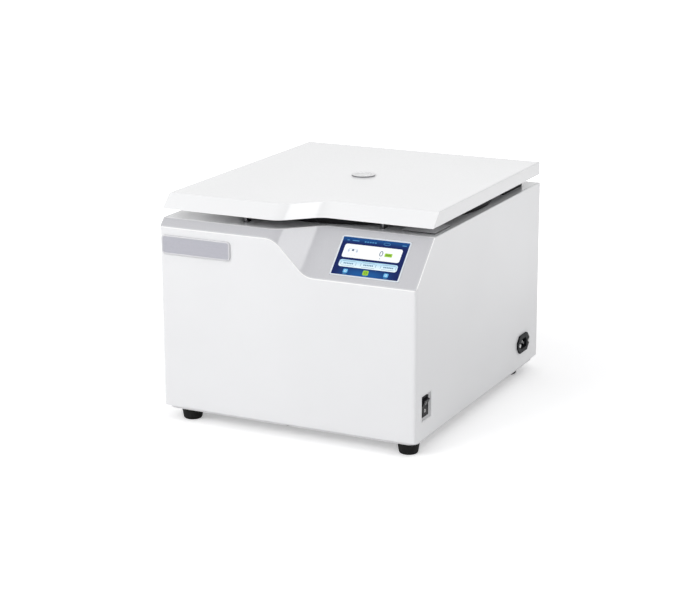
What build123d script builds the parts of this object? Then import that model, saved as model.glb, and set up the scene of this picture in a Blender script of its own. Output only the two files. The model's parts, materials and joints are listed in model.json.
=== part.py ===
from build123d import *
import math
import os

# Bench centrifuge for microplates.  Millimetres, +Z up, the front faces -Y.
# Origin: on the surface it stands on, under the middle of the cover.

# ---------------------------------------------------------------- chamber, which sets the cabinet
bowl_radius = 180.0
bowl_sheet = 1.0
bowl_depth = 128.0            # from the deck's top to the bowl's floor
bowl_corner_radius = 16.0
bowl_rim_width = 6.5
seal_width = 14.0
seal_step = 0.8
seal_edge_radius = 3.0
seal_lip_height = 4.0
seal_lip_depth = 5.0
guard_thickness = 8.0
buffer_width = 10.0
buffer_length = 83.0
buffer_side_gap = 18.0
buffer_rear_gap = 36.0
buffer_corner_radius = 2.0
guard_gap = 5.0
guard_below_bowl = 5.0
guard_below_deck = 4.0
guard_leg_width = 30.0
guard_leg_thickness = 6.0
guard_leg_foot = 24.0
guard_leg_count = 4
chamber_side_room = 19.0      # from the guard ring to the cover's inside
chamber_front_room = 77.7     # from the lid's seal to the front face
chamber_rear_room = 17.7      # from the lid's seal to the rear face

# ---------------------------------------------------------------- cabinet sizes
cover_height = 298.0          # from the cover's bottom edge to the deck
cover_sheet = 2.0
cover_bend_radius = 5.0
cover_flange = 12.0           # inward flanges that carry the deck, base and rear panel
foot_height = 17.8
foot_top_radius = 17.3
foot_bottom_radius = 14.2
foot_edge_radius = 3.0
foot_left_inset = 37.0        # from the side to the foot's middle
front_right_foot_inset = 21.5
rear_right_foot_inset = 32.0
foot_front_setback = 24.0
foot_rear_setback = 50.0
foot_recess_radius = 7.0
foot_recess_depth = 8.0
base_plate_thickness = 5.0
base_side_inset = 3.0
base_end_inset = 6.0
base_corner_radius = 14.0

# The front: an S in plan, leaning back at 45 degrees
bezel_left_setback = 13.0     # at deck height, from the front face
bezel_right_setback = 66.0
s_middle_x = 7.3
s_radius = 34.0
bezel_thickness = 3.0
bezel_ledge = 12.0            # under the deck's front edge
bezel_lip = 18.0              # down behind the front sheet
deck_thickness = 2.0

# Lid
lid_gap = 14.0                # from the deck to the lid's lower edge
lid_edge_height = 21.3
lid_sheet = 1.5
lid_side_inset = 0.6
lid_rear_inset = 1.5
lid_left_setback = 31.0       # at the lid's top
lid_right_setback = 81.0
lid_s_middle_x = 9.0
lid_edge_radius = 2.0
liner_thickness = 1.5
liner_recess = 1.0
sight_forward = 8.0           # of the chamber's axis
sight_bore_radius = 15.0
sight_flange_radius = 19.0
sight_flange_height = 2.2
sight_wall = 1.5
sight_window_thickness = 3.0
sight_window_drop = 0.4

# Clearances
fit_gap = 0.3                 # between neighbouring shells and inserts
running_gap = 0.06            # a shaft or pin turning in its bore
screw_gap = 0.2               # a screw's shank in its clearance hole
snug_gap = 0.03               # a pin or ring pressed into its seat

# ---------------------------------------------------------------- derived radii, faces and levels
bowl_outer = bowl_radius + bowl_sheet
seal_inner = bowl_outer + bowl_rim_width + seal_step
seal_outer = seal_inner + seal_width
guard_inner = bowl_outer + guard_gap
guard_outer = guard_inner + guard_thickness
guard_leg_radius = (guard_inner + guard_outer) / 2
body_width = 2 * (guard_outer + chamber_side_room + cover_sheet)
body_depth = chamber_front_room + 2 * seal_outer + chamber_rear_room
front = -body_depth / 2
rear = body_depth / 2
side = body_width / 2
axis_y = rear - chamber_rear_room - seal_outer
sight_y = axis_y - sight_forward
inner_side = side - cover_sheet
inner_front = front + cover_sheet
base_bottom = foot_height
base_top = base_bottom + base_plate_thickness
deck_top = base_top + cover_height
deck_bottom = deck_top - deck_thickness
lid_bottom = deck_top + lid_gap
lid_top = lid_bottom + lid_edge_height
liner_bottom = lid_bottom + liner_recess
lid_side = side - lid_side_inset
lid_rear = rear - lid_rear_inset
bowl_floor = deck_top - bowl_depth
guard_bottom = bowl_floor - guard_below_bowl

# ---------------------------------------------------------------- rotor and motor

trunnion_drop = 47.0          # from the deck down to the buckets' pivots
trunnion_radius_out = 85.0    # from the spindle to each pivot
trunnion_pin_radius = 5.0
trunnion_reach = 5.5          # of each pin inside its bucket boss
trunnion_head_radius = 7.5
trunnion_head = 2.0
plate_length = 127.8
plate_width = 85.5
plate_room = 1.2
bucket_wall = 2.0
bucket_floor = 2.5
bucket_depth = 60.0
bucket_rim_above_pivot = 10.0
bucket_boss = 6.0
bucket_boss_width = 20.0
bucket_boss_below = 17.0
bucket_corner_radius = 5.0
yoke_gap = 1.5
yoke_bar_thickness = 12.0
yoke_bar_end = 15.0           # of bar beyond the pivots
yoke_bar_above = 10.0
yoke_bar_below = 14.0
hub_block_width = 52.0
hub_radius = 24.0
hub_height = 44.0
hub_below_pivot = 24.0
spindle_radius = 7.0
spindle_nose = 12.0           # above the hub, inside the nut
nut_radius = 14.0
nut_height = 15.0
trunnion_z = deck_top - trunnion_drop
hub_bottom = trunnion_z - hub_below_pivot
hub_top = hub_bottom + hub_height
bucket_inner_x = plate_width + plate_room
bucket_inner_y = plate_length + plate_room
bucket_outer_x = bucket_inner_x + 2 * bucket_wall
bucket_outer_y = bucket_inner_y + 2 * bucket_wall
bucket_rim = trunnion_z + bucket_rim_above_pivot
bucket_bottom = bucket_rim - bucket_depth - bucket_floor
boss_face_y = bucket_outer_y / 2 + bucket_boss
bar_inner_y = boss_face_y + yoke_gap
bar_outer_y = bar_inner_y + yoke_bar_thickness

motor_radius = 58.0
motor_wall = 5.0
motor_fin_height = 4.0
motor_fin_width = 2.0
motor_fin_count = 24
motor_length = 88.0
motor_cap = 11.0
terminal_box_width = 28.0
terminal_box_reach = 12.0
motor_plate_radius = 92.0
motor_plate_thickness = 8.0
motor_plate_drop = 22.0       # from the bowl's floor down to the plate
spigot_radius = 32.0
damper_radius = 11.0
damper_height = 20.0
damper_waist = 2.0
pillar_radius = 10.0
damper_circle_radius = 79.0
damper_count = 4
stator_thickness = 20.0
stator_height = 62.0
winding_radial = 13.0
winding_height = 9.0
core_gap = 0.6
core_height = 64.0
shaft_radius = 8.0
shaft_collar_radius = 10.0
bearing_outer_radius = 17.5
bearing_width = 9.0
bearing_race = 2.6
ball_radius = 2.6
ball_count = 9
boot_radius = 38.0
boot_wall = 2.0
boot_bore_gap = 3.0
boot_flange = 8.0
plate_top = bowl_floor - motor_plate_drop
plate_bottom = plate_top - motor_plate_thickness
motor_top = plate_bottom
motor_barrel_top = motor_top - motor_cap
motor_barrel_bottom = motor_barrel_top - motor_length
motor_bottom = motor_barrel_bottom - motor_cap

# ---------------------------------------------------------------- front and side fittings
display_width = 112.0
display_height = 69.0
display_active_width = 107.8
display_active_height = 64.9
display_side_gap = 32.7       # from the glass to the right side
display_down_slope = 46.6     # from the slope's top edge down to the screen's middle
display_glass = 1.5
display_module_depth = 5.0
display_margin = 2.5          # of the module beyond the glass
display_board_thickness = 1.6
display_board_margin = 4.0
display_x = side - display_side_gap - display_width / 2
plate_label_width = 119.0
plate_label_height = 29.5
plate_label_thickness = 3.0
plate_label_radius = 4.0
plate_label_edge = 0.6
plate_label_side_gap = 5.0
plate_label_drop = 38.5       # from the deck to the plate's middle
plate_label_x = -side + plate_label_side_gap + plate_label_width / 2
plate_label_z = deck_top - plate_label_drop

switch_setback = 39.5         # of the switch's middle from the front face
switch_rise = 47.0            # of its middle above the base plate
switch_y = front + switch_setback
switch_z = base_top + switch_rise
recess_width = 34.0
recess_height = 39.0
recess_depth = 4.5
recess_sheet = 1.2
switch_flange_width = 25.0
switch_flange_height = 31.0
switch_flange_thickness = 2.0
switch_body_width = 22.0
switch_body_height = 28.0
switch_body_depth = 18.0
rocker_width = 18.6
rocker_half_height = 12.0
rocker_well_depth = 9.0
rocker_tilt = 9.0
rocker_pin_radius = 1.5
rocker_play = 1.4
rocker_face_end = 7.0         # face height above the pivot at its ends
rocker_face_middle = 4.2
rocker_sink = 0.3             # of the face's middle below the flange
rocker_pin_reach = 1.3        # of each pin beyond the rocker
rocker_pin_room = 1.2         # of each pin's hole beyond the well
terminal_length = 8.0
terminal_half_width = 3.0
terminal_half_thickness = 0.4
terminal_pitch = 7.0

inlet_setback = 67.0          # of the inlet's middle from the rear face
inlet_rise = 39.0             # of its middle above the base plate
inlet_y = rear - inlet_setback
inlet_z = base_top + inlet_rise
inlet_flange_width = 50.0
inlet_flange_height = 30.0
inlet_flange_thickness = 3.0
inlet_ear_half_height = 5.0
inlet_shoulder = 15.5
inlet_body_width = 28.0
inlet_body_height = 21.0
inlet_body_depth = 24.0
inlet_socket_width = 24.6
inlet_socket_height = 16.6
inlet_socket_depth = 16.0
inlet_screw_pitch = 40.0
inlet_pin_length = 13.0
inlet_socket_corner = 5.0
inlet_pin_pitch = 7.0
inlet_pin_offset = 2.0        # up for the middle pin, down for the others
inlet_pin_half_width = 1.0
inlet_pin_half_height = 2.0
inlet_pin_tail = 7.0

# Lid hooks and their locks
hook_left_x = -85.0
hook_right_x = 120.0
hook_setback = 36.0           # behind the lid's lower front edge
hook_thickness = 3.0
hook_width = 14.0
hook_depth = 41.0             # below the liner
hook_foot = 24.0
hook_window = 9.0
hook_window_up = 11.0         # from the hook's tip to the window's middle
slot_side_gap = 3.0
slot_end_gap = 4.0
lock_bolt_radius = 3.0
lock_travel = 10.0
lock_rest_gap = 3.0           # between the hook and the drawn-back bolt
lock_wall = 2.0
lock_body_length = 30.0
lock_body_size = 20.0
lock_bolt_tail = lock_travel + 4.0
lock_bolt_head_radius = 5.0
lock_bolt_head = 2.0
lock_frame_tail = 8.0

# Hinges
hinge_x = 140.0
hinge_width = 44.0
hinge_leaf_length = 34.0
hinge_leaf_thickness = 2.5
hinge_pin_radius = 2.5
hinge_pin_head = 1.2
hinge_joint_gap = 0.3
hinge_middle_width = 20.0
hinge_setback = 8.0           # of the pin's axis from the lid's rear face
hinge_z = (deck_top + liner_bottom) / 2
hinge_y = lid_rear - hinge_setback
knuckle_radius = (liner_bottom - deck_top) / 2 - hinge_leaf_thickness

# Rear panel, fan, electronics
rear_panel_sheet = 2.0
rear_panel_flange = 20.0
fan_size = 80.0
fan_depth = 25.0
fan_side_gap = 55.0           # from the left side to the fan's frame
fan_rise = 30.0               # from the base plate to the fan's frame
fan_corner_radius = 4.0
fan_bore_radius = 37.5
fan_hub_radius = 15.0
fan_hub_plate = 4.0
fan_strut_width = 5.0
fan_screw_inset = 4.5
fan_axle_radius = 2.5
fan_axle_length = 16.0
fan_axle_room = 1.0
fan_wheel_width = 17.0
fan_wheel_gap = 3.0           # from the rear panel to the wheel
fan_blade_count = 7
fan_blade_thickness = 1.6
fan_blade_root = 3.0          # of each blade inside the hub
fan_blade_lean = 38.0
fan_tip_gap = 1.5
fan_x = -side + fan_side_gap + fan_size / 2
fan_z = base_top + fan_rise + fan_size / 2
vent_width = 4.0
vent_pitch = 9.0
vent_rows = 9
vent_length = 90.0
vent_side_gap = 60.0          # from the right side to the vents
vent_rise = 40.0
vent_x = side - vent_side_gap - vent_length / 2
vent_z = base_top + vent_rise
board_bracket_side_gap = 25.0
board_bracket_front_gap = 42.0
board_bracket_width = 150.0
board_bracket_height = 120.0
board_bracket_foot = 18.0
bracket_sheet = 2.0
board_bracket_x = -side + board_bracket_side_gap
board_bracket_y = inner_front + board_bracket_front_gap
standoff_height = 8.0
standoff_radius = 3.0
standoff_inset = 5.0
board_thickness = 1.6
board_margin = 8.0
chip_size = 24.0
chip_height = 3.0
chip_inset = 20.0
connector_width = 16.0
connector_height = 14.0
connector_reach = 14.0
connector_inset = 34.0
connector_drop = 8.0
capacitor_radius = 5.0
capacitor_height = 16.0
capacitor_pitch = 14.0
capacitor_inset = 66.0
capacitor_rise = 14.0
drive_leg_gap = 40.0          # from the front guard leg to the drive
drive_board_gap = 48.0        # from the board's bracket to the drive
drive_length = 110.0
drive_depth = 60.0
drive_height = 70.0
drive_corner_radius = 3.0
drive_x = -(guard_leg_width / 2 + drive_leg_gap + drive_length / 2)
drive_y = board_bracket_y + drive_board_gap + drive_depth / 2
sink_base = 6.0
sink_fin_height = 24.0
sink_fin_count = 9
sink_fin_thickness = 2.0
supply_leg_gap = 15.0         # from the front guard leg to the power supply
supply_front_gap = 53.0
supply_length = 110.0
supply_depth = 70.0
supply_height = 45.0
supply_x = guard_leg_width / 2 + supply_leg_gap + supply_length / 2
supply_y = inner_front + supply_front_gap + supply_depth / 2
supply_slot_count = 6
supply_slot_width = 6.0
supply_slot_pitch = 14.0
supply_slot_inset = 20.0
supply_slot_end_gap = 12.0
supply_slot_depth = 1.5
wire_radius = 2.5
wire_leg_gap = 4.0            # from a guard leg's foot to the wire's middle
wire_lane_x = guard_leg_radius - guard_leg_foot - wire_leg_gap


# ---------------------------------------------------------------- small helpers
def block(x0, x1, y0, y1, z0, z1):
    """Box between two corners."""
    size = (x1 - x0, y1 - y0, z1 - z0)
    return Pos((x0 + x1) / 2, (y0 + y1) / 2, (z0 + z1) / 2) * Box(*size)


def post(x, y, z0, z1, radius):
    """Upright cylinder."""
    return Pos(x, y, (z0 + z1) / 2) * Cylinder(radius, z1 - z0)


def rod_x(x0, x1, y, z, radius):
    """Cylinder along X."""
    return Pos((x0 + x1) / 2, y, z) * Rot(0, 90, 0) * Cylinder(radius, x1 - x0)


def rod_y(x, y0, y1, z, radius):
    """Cylinder along Y."""
    return Pos(x, (y0 + y1) / 2, z) * Rot(90, 0, 0) * Cylinder(radius, y1 - y0)


def ring(z0, z1, inner, outer, x=0.0, y=None):
    """Upright ring, on the chamber's axis unless told otherwise."""
    y = axis_y if y is None else y
    return post(x, y, z0, z1, outer) - post(x, y, z0 - 1, z1 + 1, inner)


def around_axis(count, radius, start=0.0):
    """Points on a circle about the chamber's axis, with their angles."""
    for index in range(count):
        angle = math.radians(start + index * 360.0 / count)
        x = radius * math.cos(angle)
        y = axis_y + radius * math.sin(angle)
        yield x, y, math.degrees(angle)


def upright_edges(shape):
    return shape.edges().filter_by(Axis.Z)


def save(name, *solids):
    """One node: its solids side by side in one file."""
    flat = [solid for shape in solids for solid in shape.solids()]
    shape = flat[0] if len(flat) == 1 else Compound(children=flat)
    export_step(shape, f"parts/{name}.step")


def ahead_of_s(left_setback, right_setback, middle_x, top, inset=0.0):
    """Space ahead of a front that leans back at 45 degrees and runs in an S across the width.

    The S lies at height top; inset moves the whole front square to its lean, into the body.
    """
    lift = 40.0
    left_y = front + left_setback + lift
    right_y = front + right_setback + lift
    half_run = (right_y - left_y) / 2
    far_x = body_width
    far_y = front - body_depth
    s_line = FilletPolyline(
        (-far_x, left_y),
        (middle_x - half_run, left_y),
        (middle_x + half_run, right_y),
        (far_x, right_y),
        radius=s_radius,
    )
    outside = Polyline((far_x, right_y), (far_x, far_y), (-far_x, far_y), (-far_x, left_y))
    face = make_face(s_line.edges() + outside.edges())
    swept = extrude(face, amount=2 * body_depth, dir=(0, -1, -1))
    return Pos(0, inset, top + lift - inset) * swept


def ahead_of_bezel(inset=0.0):
    return ahead_of_s(bezel_left_setback, bezel_right_setback, s_middle_x, deck_top, inset)


def ahead_of_lid(inset=0.0):
    return ahead_of_s(lid_left_setback, lid_right_setback, lid_s_middle_x, lid_top, inset)


def lean_inset(thickness):
    """Shift along Y and -Z that gives a leaning wall this thickness."""
    return thickness / math.sqrt(2)


# ---------------------------------------------------------------- cabinet
def switch_window():
    half_w = recess_width / 2 + recess_sheet + fit_gap
    half_h = recess_height / 2 + recess_sheet + fit_gap
    return block(inner_side - 1, side + 1, switch_y - half_w, switch_y + half_w,
                 switch_z - half_h, switch_z + half_h)


def inlet_window():
    half_w = inlet_body_width / 2 + fit_gap
    half_h = inlet_body_height / 2 + fit_gap
    window = block(inner_side - 1, side + 1, inlet_y - half_w, inlet_y + half_w,
                   inlet_z - half_h, inlet_z + half_h)
    for end in (-1, 1):
        window += rod_x(inner_side - 1, side + 1, inlet_y + end * inlet_screw_pitch / 2,
                        inlet_z, inlet_screw_radius + screw_gap)
    return window


def outer_cover():
    """White sheet folded round the front and both sides, open at the back."""
    wrap = block(-side, side, front, rear, base_top, deck_top)
    wrap = fillet(upright_edges(wrap).sort_by(Axis.Y)[:2], cover_bend_radius)
    room = block(-inner_side, inner_side, inner_front, rear + 1, base_top - 1, deck_top + 1)
    bend_inside = cover_bend_radius - cover_sheet
    room = fillet(upright_edges(room).sort_by(Axis.Y)[:2], bend_inside)
    cover = wrap - room
    inside = wrap & room
    ledge_z = deck_bottom - cover_sheet
    bezel_room = ahead_of_bezel(bezel_ledge / 2 + lean_inset(bezel_thickness) + fit_gap)
    for end in (-1, 1):
        x0, x1 = sorted((end * inner_side, end * (inner_side - cover_flange)))
        deck_ledge = block(x0, x1, inner_front, rear - rear_panel_sheet, ledge_z, deck_bottom)
        cover += deck_ledge - bezel_room
        back_ledge = block(x0, x1, rear - rear_panel_sheet - cover_sheet, rear - rear_panel_sheet,
                           base_top, ledge_z)
        cover += back_ledge
        foot_ledge = block(x0, x1, inner_front, rear - rear_panel_sheet, base_top,
                           base_top + cover_sheet)
        cover += foot_ledge & inside
    front_ledge = block(-inner_side, inner_side, inner_front, inner_front + cover_flange,
                        base_top, base_top + cover_sheet)
    cover += front_ledge & inside
    for x, y in base_screw_places():
        cover -= post(x, y, base_top - 1, base_top + cover_sheet + 1, base_screw_radius + screw_gap)
    for x, z in rear_screw_places():
        cover -= rod_y(x, rear - rear_screw_length - 1, rear, z, rear_screw_radius + screw_gap)
    cover -= ahead_of_bezel()
    return cover - switch_window() - inlet_window()


def base_screw_places():
    """Middles of the screws that hold the cover's bottom flange."""
    middle = cover_flange / 2
    x = inner_side - middle - base_side_inset / 2
    ys = (front + base_screw_front_gap, front + base_screw_middle_gap, rear - base_screw_rear_gap)
    front_screw = (0.0, inner_front + middle + base_screw_offset)
    return [(end * x, y) for end in (-1, 1) for y in ys] + [front_screw]


def rear_screw_places():
    x = inner_side - cover_flange / 2
    zs = (base_top + rear_screw_rise, (base_top + deck_top) / 2, deck_top - rear_screw_drop)
    return [(end * x, z) for end in (-1, 1) for z in zs]


base_screw_front_gap = 120.0
base_screw_middle_gap = 260.0
base_screw_rear_gap = 60.0
base_screw_offset = 1.0
base_screw_tip = 1.0
base_screw_radius = 2.0
base_screw_head_radius = 4.0
base_nut_radius = 4.0
base_nut_height = 3.2
rear_screw_rise = 30.0
rear_screw_drop = 40.0
rear_screw_radius = 1.5
rear_screw_head_radius = 3.0
rear_screw_head = 1.8
rear_screw_length = 8.0
inlet_screw_radius = 1.5
inlet_screw_head_radius = 2.8
inlet_screw_head = 1.6
inlet_screw_length = 6.0
inlet_screw_slot = 0.8
inlet_screw_slot_depth = 1.0
inlet_nut_radius = 3.0
inlet_nut_height = 2.4


def foot_places():
    y_front = front + foot_front_setback
    y_rear = rear - foot_rear_setback
    left = [(-side + foot_left_inset, y) for y in (y_front, y_rear)]
    return left + [(side - front_right_foot_inset, y_front), (side - rear_right_foot_inset, y_rear)]


def base_plate():
    half_width = side - base_side_inset
    plate = block(-half_width, half_width, front + base_end_inset, rear - base_end_inset,
                  base_bottom, base_top)
    plate = fillet(upright_edges(plate), base_corner_radius)
    for x, y in foot_places():
        plate -= post(x, y, base_bottom - 1, base_top + 1, foot_screw_radius + screw_gap)
    head_drop = base_screw_head_radius - base_screw_radius
    for x, y in base_screw_places():
        plate -= post(x, y, base_bottom - 1, base_top + 1, base_screw_radius + screw_gap)
        sink = Cone(base_screw_head_radius + screw_gap, base_screw_radius + screw_gap, head_drop)
        plate -= Pos(x, y, base_bottom + head_drop / 2) * sink
    return plate


foot_screw_radius = 2.5
foot_screw_head_radius = 4.6
foot_screw_head = 3.0
foot_nut_radius = 4.6
foot_nut_height = 4.0


def one_foot(x, y):
    """Tapered rubber foot, hollowed for its screw's head."""
    foot = Cone(foot_bottom_radius, foot_top_radius, foot_height)
    foot = fillet(foot.edges().sort_by(Axis.Z)[:1], foot_edge_radius)
    foot = Pos(x, y, foot_height / 2) * foot
    foot -= post(x, y, -1, foot_recess_depth, foot_recess_radius)
    return foot - post(x, y, 0, foot_height + 1, foot_screw_radius + screw_gap)


def one_foot_screw(x, y):
    shank_top = base_top + foot_nut_height + base_screw_tip
    head_top = foot_recess_depth
    screw = post(x, y, head_top, shank_top, foot_screw_radius)
    screw += post(x, y, head_top - foot_screw_head, head_top, foot_screw_head_radius)
    nut = Pos(x, y, base_top) * extrude(RegularPolygon(foot_nut_radius, 6), foot_nut_height)
    return screw + nut


def one_base_screw(x, y):
    head_drop = base_screw_head_radius - base_screw_radius
    nut_z = base_top + cover_sheet
    screw = post(x, y, base_bottom, nut_z + base_nut_height + base_screw_tip, base_screw_radius)
    head = Cone(base_screw_head_radius, base_screw_radius, head_drop)
    screw += Pos(x, y, base_bottom + head_drop / 2) * head
    nut = Pos(x, y, nut_z) * extrude(RegularPolygon(base_nut_radius, 6), base_nut_height)
    return screw + nut


def one_rear_screw(x, z):
    screw = rod_y(x, rear - rear_screw_length, rear, z, rear_screw_radius)
    return screw + rod_y(x, rear, rear + rear_screw_head, z, rear_screw_head_radius)


def rear_panel():
    """Back sheet between the sides, with the fan's grille and a block of vents."""
    y0, y1 = rear - rear_panel_sheet, rear
    gap = fit_gap
    panel = block(-inner_side + gap, inner_side - gap, y0, y1, base_top, deck_bottom - gap)
    flange_x = inner_side - cover_flange - gap
    panel += block(-flange_x, flange_x, y0 - rear_panel_flange, y0, base_top, base_top + rear_panel_sheet)
    slot_count = int(fan_bore_radius * 2 / vent_pitch)
    for index in range(slot_count):
        offset = (index - (slot_count - 1) / 2) * vent_pitch
        half = math.sqrt(fan_bore_radius ** 2 - offset ** 2) - vent_width
        panel -= vent_slot(fan_x, fan_z + offset, half)
    for index in range(vent_rows):
        panel -= vent_slot(vent_x, vent_z + index * vent_pitch, vent_length / 2)
    for x, z in rear_screw_places():
        panel -= rod_y(x, y0 - 1, y1 + 1, z, rear_screw_radius + screw_gap)
    for x, z in fan_screw_places():
        panel -= rod_y(x, y0 - 1, y1 + 1, z, rear_screw_radius + screw_gap)
    return panel


def vent_slot(x, z, half):
    """Slot along X through the rear panel, with round ends."""
    y0, y1 = rear - rear_panel_sheet - 1, rear + 1
    slot = block(x - half, x + half, y0, y1, z - vent_width / 2, z + vent_width / 2)
    for end in (-1, 1):
        slot += rod_y(x + end * half, y0, y1, z, vent_width / 2)
    return slot


def top_deck():
    """Flat deck under the lid: chamber hole and two hook slots."""
    deck = block(-inner_side + fit_gap, inner_side - fit_gap, inner_front, rear, deck_bottom, deck_top)
    deck -= ahead_of_bezel(lean_inset(bezel_thickness))
    deck -= post(0, axis_y, deck_bottom - 1, deck_top + 1, bowl_outer + fit_gap)
    for x, y in hook_places():
        deck -= hook_slot(x, y)
    return deck


def hook_places():
    """Each hook stands the same distance behind the lid's lower front edge."""
    left_y = front + lid_left_setback - lid_edge_height + hook_setback
    right_y = front + lid_right_setback - lid_edge_height + hook_setback
    return [(hook_left_x, left_y), (hook_right_x, right_y)]


def hook_slot(x, y):
    half_x = hook_thickness / 2 + slot_side_gap
    half_y = hook_width / 2 + slot_end_gap
    return block(x - half_x, x + half_x, y - half_y, y + half_y,
                 deck_bottom - lock_wall - 1, deck_top + 1)


def control_bezel():
    """Leaning S-shaped moulding, with a ledge for the deck and a lip behind the front sheet."""
    thickness_inset = lean_inset(bezel_thickness)
    room = block(-inner_side, inner_side, inner_front, rear, base_top, deck_top)
    room = fillet(upright_edges(room).sort_by(Axis.Y)[:2], cover_bend_radius - cover_sheet)
    body = room - ahead_of_bezel()
    skin = body & ahead_of_bezel(thickness_inset)
    ledge_bottom = deck_bottom - bezel_thickness
    ledge_slab = block(-inner_side, inner_side, inner_front, rear, ledge_bottom, deck_bottom)
    ledge = ledge_slab & ahead_of_bezel(thickness_inset + bezel_ledge / 2)
    lip_back = inner_front + bezel_thickness
    lip_slab = block(-inner_side, inner_side, inner_front, lip_back, base_top, deck_top)
    lip = lip_slab & ahead_of_bezel(bezel_lip / 2)
    bezel = skin + (ledge & body) + (lip & body)
    window = display_box(display_active_width + 1, display_active_height + 1, -2 * bezel_thickness, 1)
    glass_seat = display_box(display_width + 2 * fit_gap, display_height + 2 * fit_gap, -display_glass, 1)
    return bezel - window - glass_seat


def display_plane():
    """Frame on the slope: X to the right, Y up the slope, Z out of it."""
    down = display_down_slope / math.sqrt(2)
    origin = (display_x, front + bezel_right_setback - down, deck_top - down)
    return Plane(origin=origin, x_dir=(1, 0, 0), z_dir=(0, -1, 1))


def display_box(width, height, z0, z1):
    return display_plane().location * Pos(0, 0, (z0 + z1) / 2) * Box(width, height, z1 - z0)


def display_glass_pane():
    pane = Pos(0, 0, -display_glass / 2) * Box(display_width, display_height, display_glass)
    pane = fillet(upright_edges(pane), 2.0)
    return display_plane().location * pane


def display_module():
    width = display_width + 2 * display_margin
    height = display_height + 2 * display_margin
    back = -bezel_thickness - display_module_depth
    module = display_box(width, height, back, -bezel_thickness)
    panel = display_box(display_active_width, display_active_height, -bezel_thickness, -display_glass)
    return module + panel


def display_board():
    """Board behind the display, with its chips and connector."""
    top = -bezel_thickness - display_module_depth
    bottom = top - display_board_thickness
    width = display_width + 2 * display_board_margin
    height = display_height + 2 * display_board_margin
    board = display_box(width, height, bottom, top)
    chip = display_plane().location * Pos(-20, 5, bottom - 1) * Box(16, 16, 2)
    port = display_plane().location * Pos(30, -20, bottom - 3) * Box(24, 7, 6)
    return board + chip + port


def name_plate():
    """Bare plate on the front, left side."""
    plate = Box(plate_label_width, plate_label_thickness, plate_label_height)
    plate = fillet(plate.edges().filter_by(Axis.Y), plate_label_radius)
    plate = chamfer(plate.faces().sort_by(Axis.Y)[0].edges(), plate_label_edge)
    return Pos(plate_label_x, front - plate_label_thickness / 2, plate_label_z) * plate


corner_plate_width = 54.0
corner_plate_length = 58.0
corner_plate_thickness = 2.0
corner_plate_side_gap = 8.0
corner_plate_front_gap = 18.0


def corner_plate():
    """Plain access plate on the deck at the right front corner."""
    x1 = side - corner_plate_side_gap
    y0 = front + bezel_right_setback + corner_plate_front_gap
    plate = block(x1 - corner_plate_width, x1, y0, y0 + corner_plate_length, deck_top,
                  deck_top + corner_plate_thickness)
    return fillet(upright_edges(plate), 2.0)


# ---------------------------------------------------------------- switch and inlet
def switch_recess():
    """White tray let into the right side, holding the power switch."""
    half_w = recess_width / 2
    half_h = recess_height / 2
    back = side - recess_depth
    outer_w = half_w + recess_sheet
    tray = block(back - recess_sheet, side, switch_y - outer_w, switch_y + outer_w,
                 switch_z - half_h - recess_sheet, switch_z + half_h + recess_sheet)
    tray -= block(back, side + 1, switch_y - half_w, switch_y + half_w, switch_z - half_h, switch_z + half_h)
    body_w = switch_body_width / 2 + fit_gap
    body_h = switch_body_height / 2 + fit_gap
    return tray - block(back - 5, side, switch_y - body_w, switch_y + body_w,
                        switch_z - body_h, switch_z + body_h)


def switch_flange_face():
    return side - recess_depth + switch_flange_thickness


def rocker_pivot_x():
    return switch_flange_face() - rocker_face_middle - rocker_sink


def switch_housing():
    """Black switch body with a flange and a well for the rocker."""
    back = side - recess_depth
    flange = block(back, switch_flange_face(), switch_y - switch_flange_width / 2,
                   switch_y + switch_flange_width / 2, switch_z - switch_flange_height / 2,
                   switch_z + switch_flange_height / 2)
    flange = fillet(flange.edges().filter_by(Axis.X), 1.5)
    body = block(back - switch_body_depth, back, switch_y - switch_body_width / 2,
                 switch_y + switch_body_width / 2, switch_z - switch_body_height / 2,
                 switch_z + switch_body_height / 2)
    well_w = rocker_width / 2 + fit_gap
    well_h = rocker_half_height + rocker_play
    face = switch_flange_face()
    well = block(face - rocker_well_depth, face + 1, switch_y - well_w, switch_y + well_w,
                 switch_z - well_h, switch_z + well_h)
    pin_end = well_w + rocker_pin_room
    pins = rod_y(rocker_pivot_x(), switch_y - pin_end, switch_y + pin_end, switch_z,
                 rocker_pin_radius + running_gap)
    housing = flange + body - well - pins
    body_back = back - switch_body_depth
    for row in (-1, 0, 1):
        z = switch_z + row * terminal_pitch
        housing += block(body_back - terminal_length, body_back, switch_y - terminal_half_width,
                         switch_y + terminal_half_width, z - terminal_half_thickness,
                         z + terminal_half_thickness)
    return housing


def switch_rocker():
    """Rocker with a shallow V face, resting on its lower half."""
    outline = [
        (rocker_face_end, rocker_half_height),
        (rocker_face_middle, 0.0),
        (rocker_face_end, -rocker_half_height),
        (1.5, -rocker_half_height),
        (-2.5, -3.5),
        (-2.5, 3.5),
        (1.5, rocker_half_height),
    ]
    profile = Plane.XZ * make_face(Polyline(*outline, close=True))
    rocker = Pos(0, rocker_width / 2, 0) * extrude(profile, rocker_width)
    pins = Rot(90, 0, 0) * Cylinder(rocker_pin_radius, rocker_width + 2 * rocker_pin_reach)
    tilted = Rot(0, rocker_tilt, 0) * (rocker + pins)
    return Pos(rocker_pivot_x(), switch_y, switch_z) * tilted


def inlet_flange_outline():
    half_w = inlet_flange_width / 2
    half_h = inlet_flange_height / 2
    points = [
        (half_w, inlet_ear_half_height),
        (inlet_shoulder, half_h),
        (-inlet_shoulder, half_h),
        (-half_w, inlet_ear_half_height),
        (-half_w, -inlet_ear_half_height),
        (-inlet_shoulder, -half_h),
        (inlet_shoulder, -half_h),
        (half_w, -inlet_ear_half_height),
    ]
    face = make_face(Polyline(*points, close=True))
    return fillet(face.vertices(), 2.0)


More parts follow.
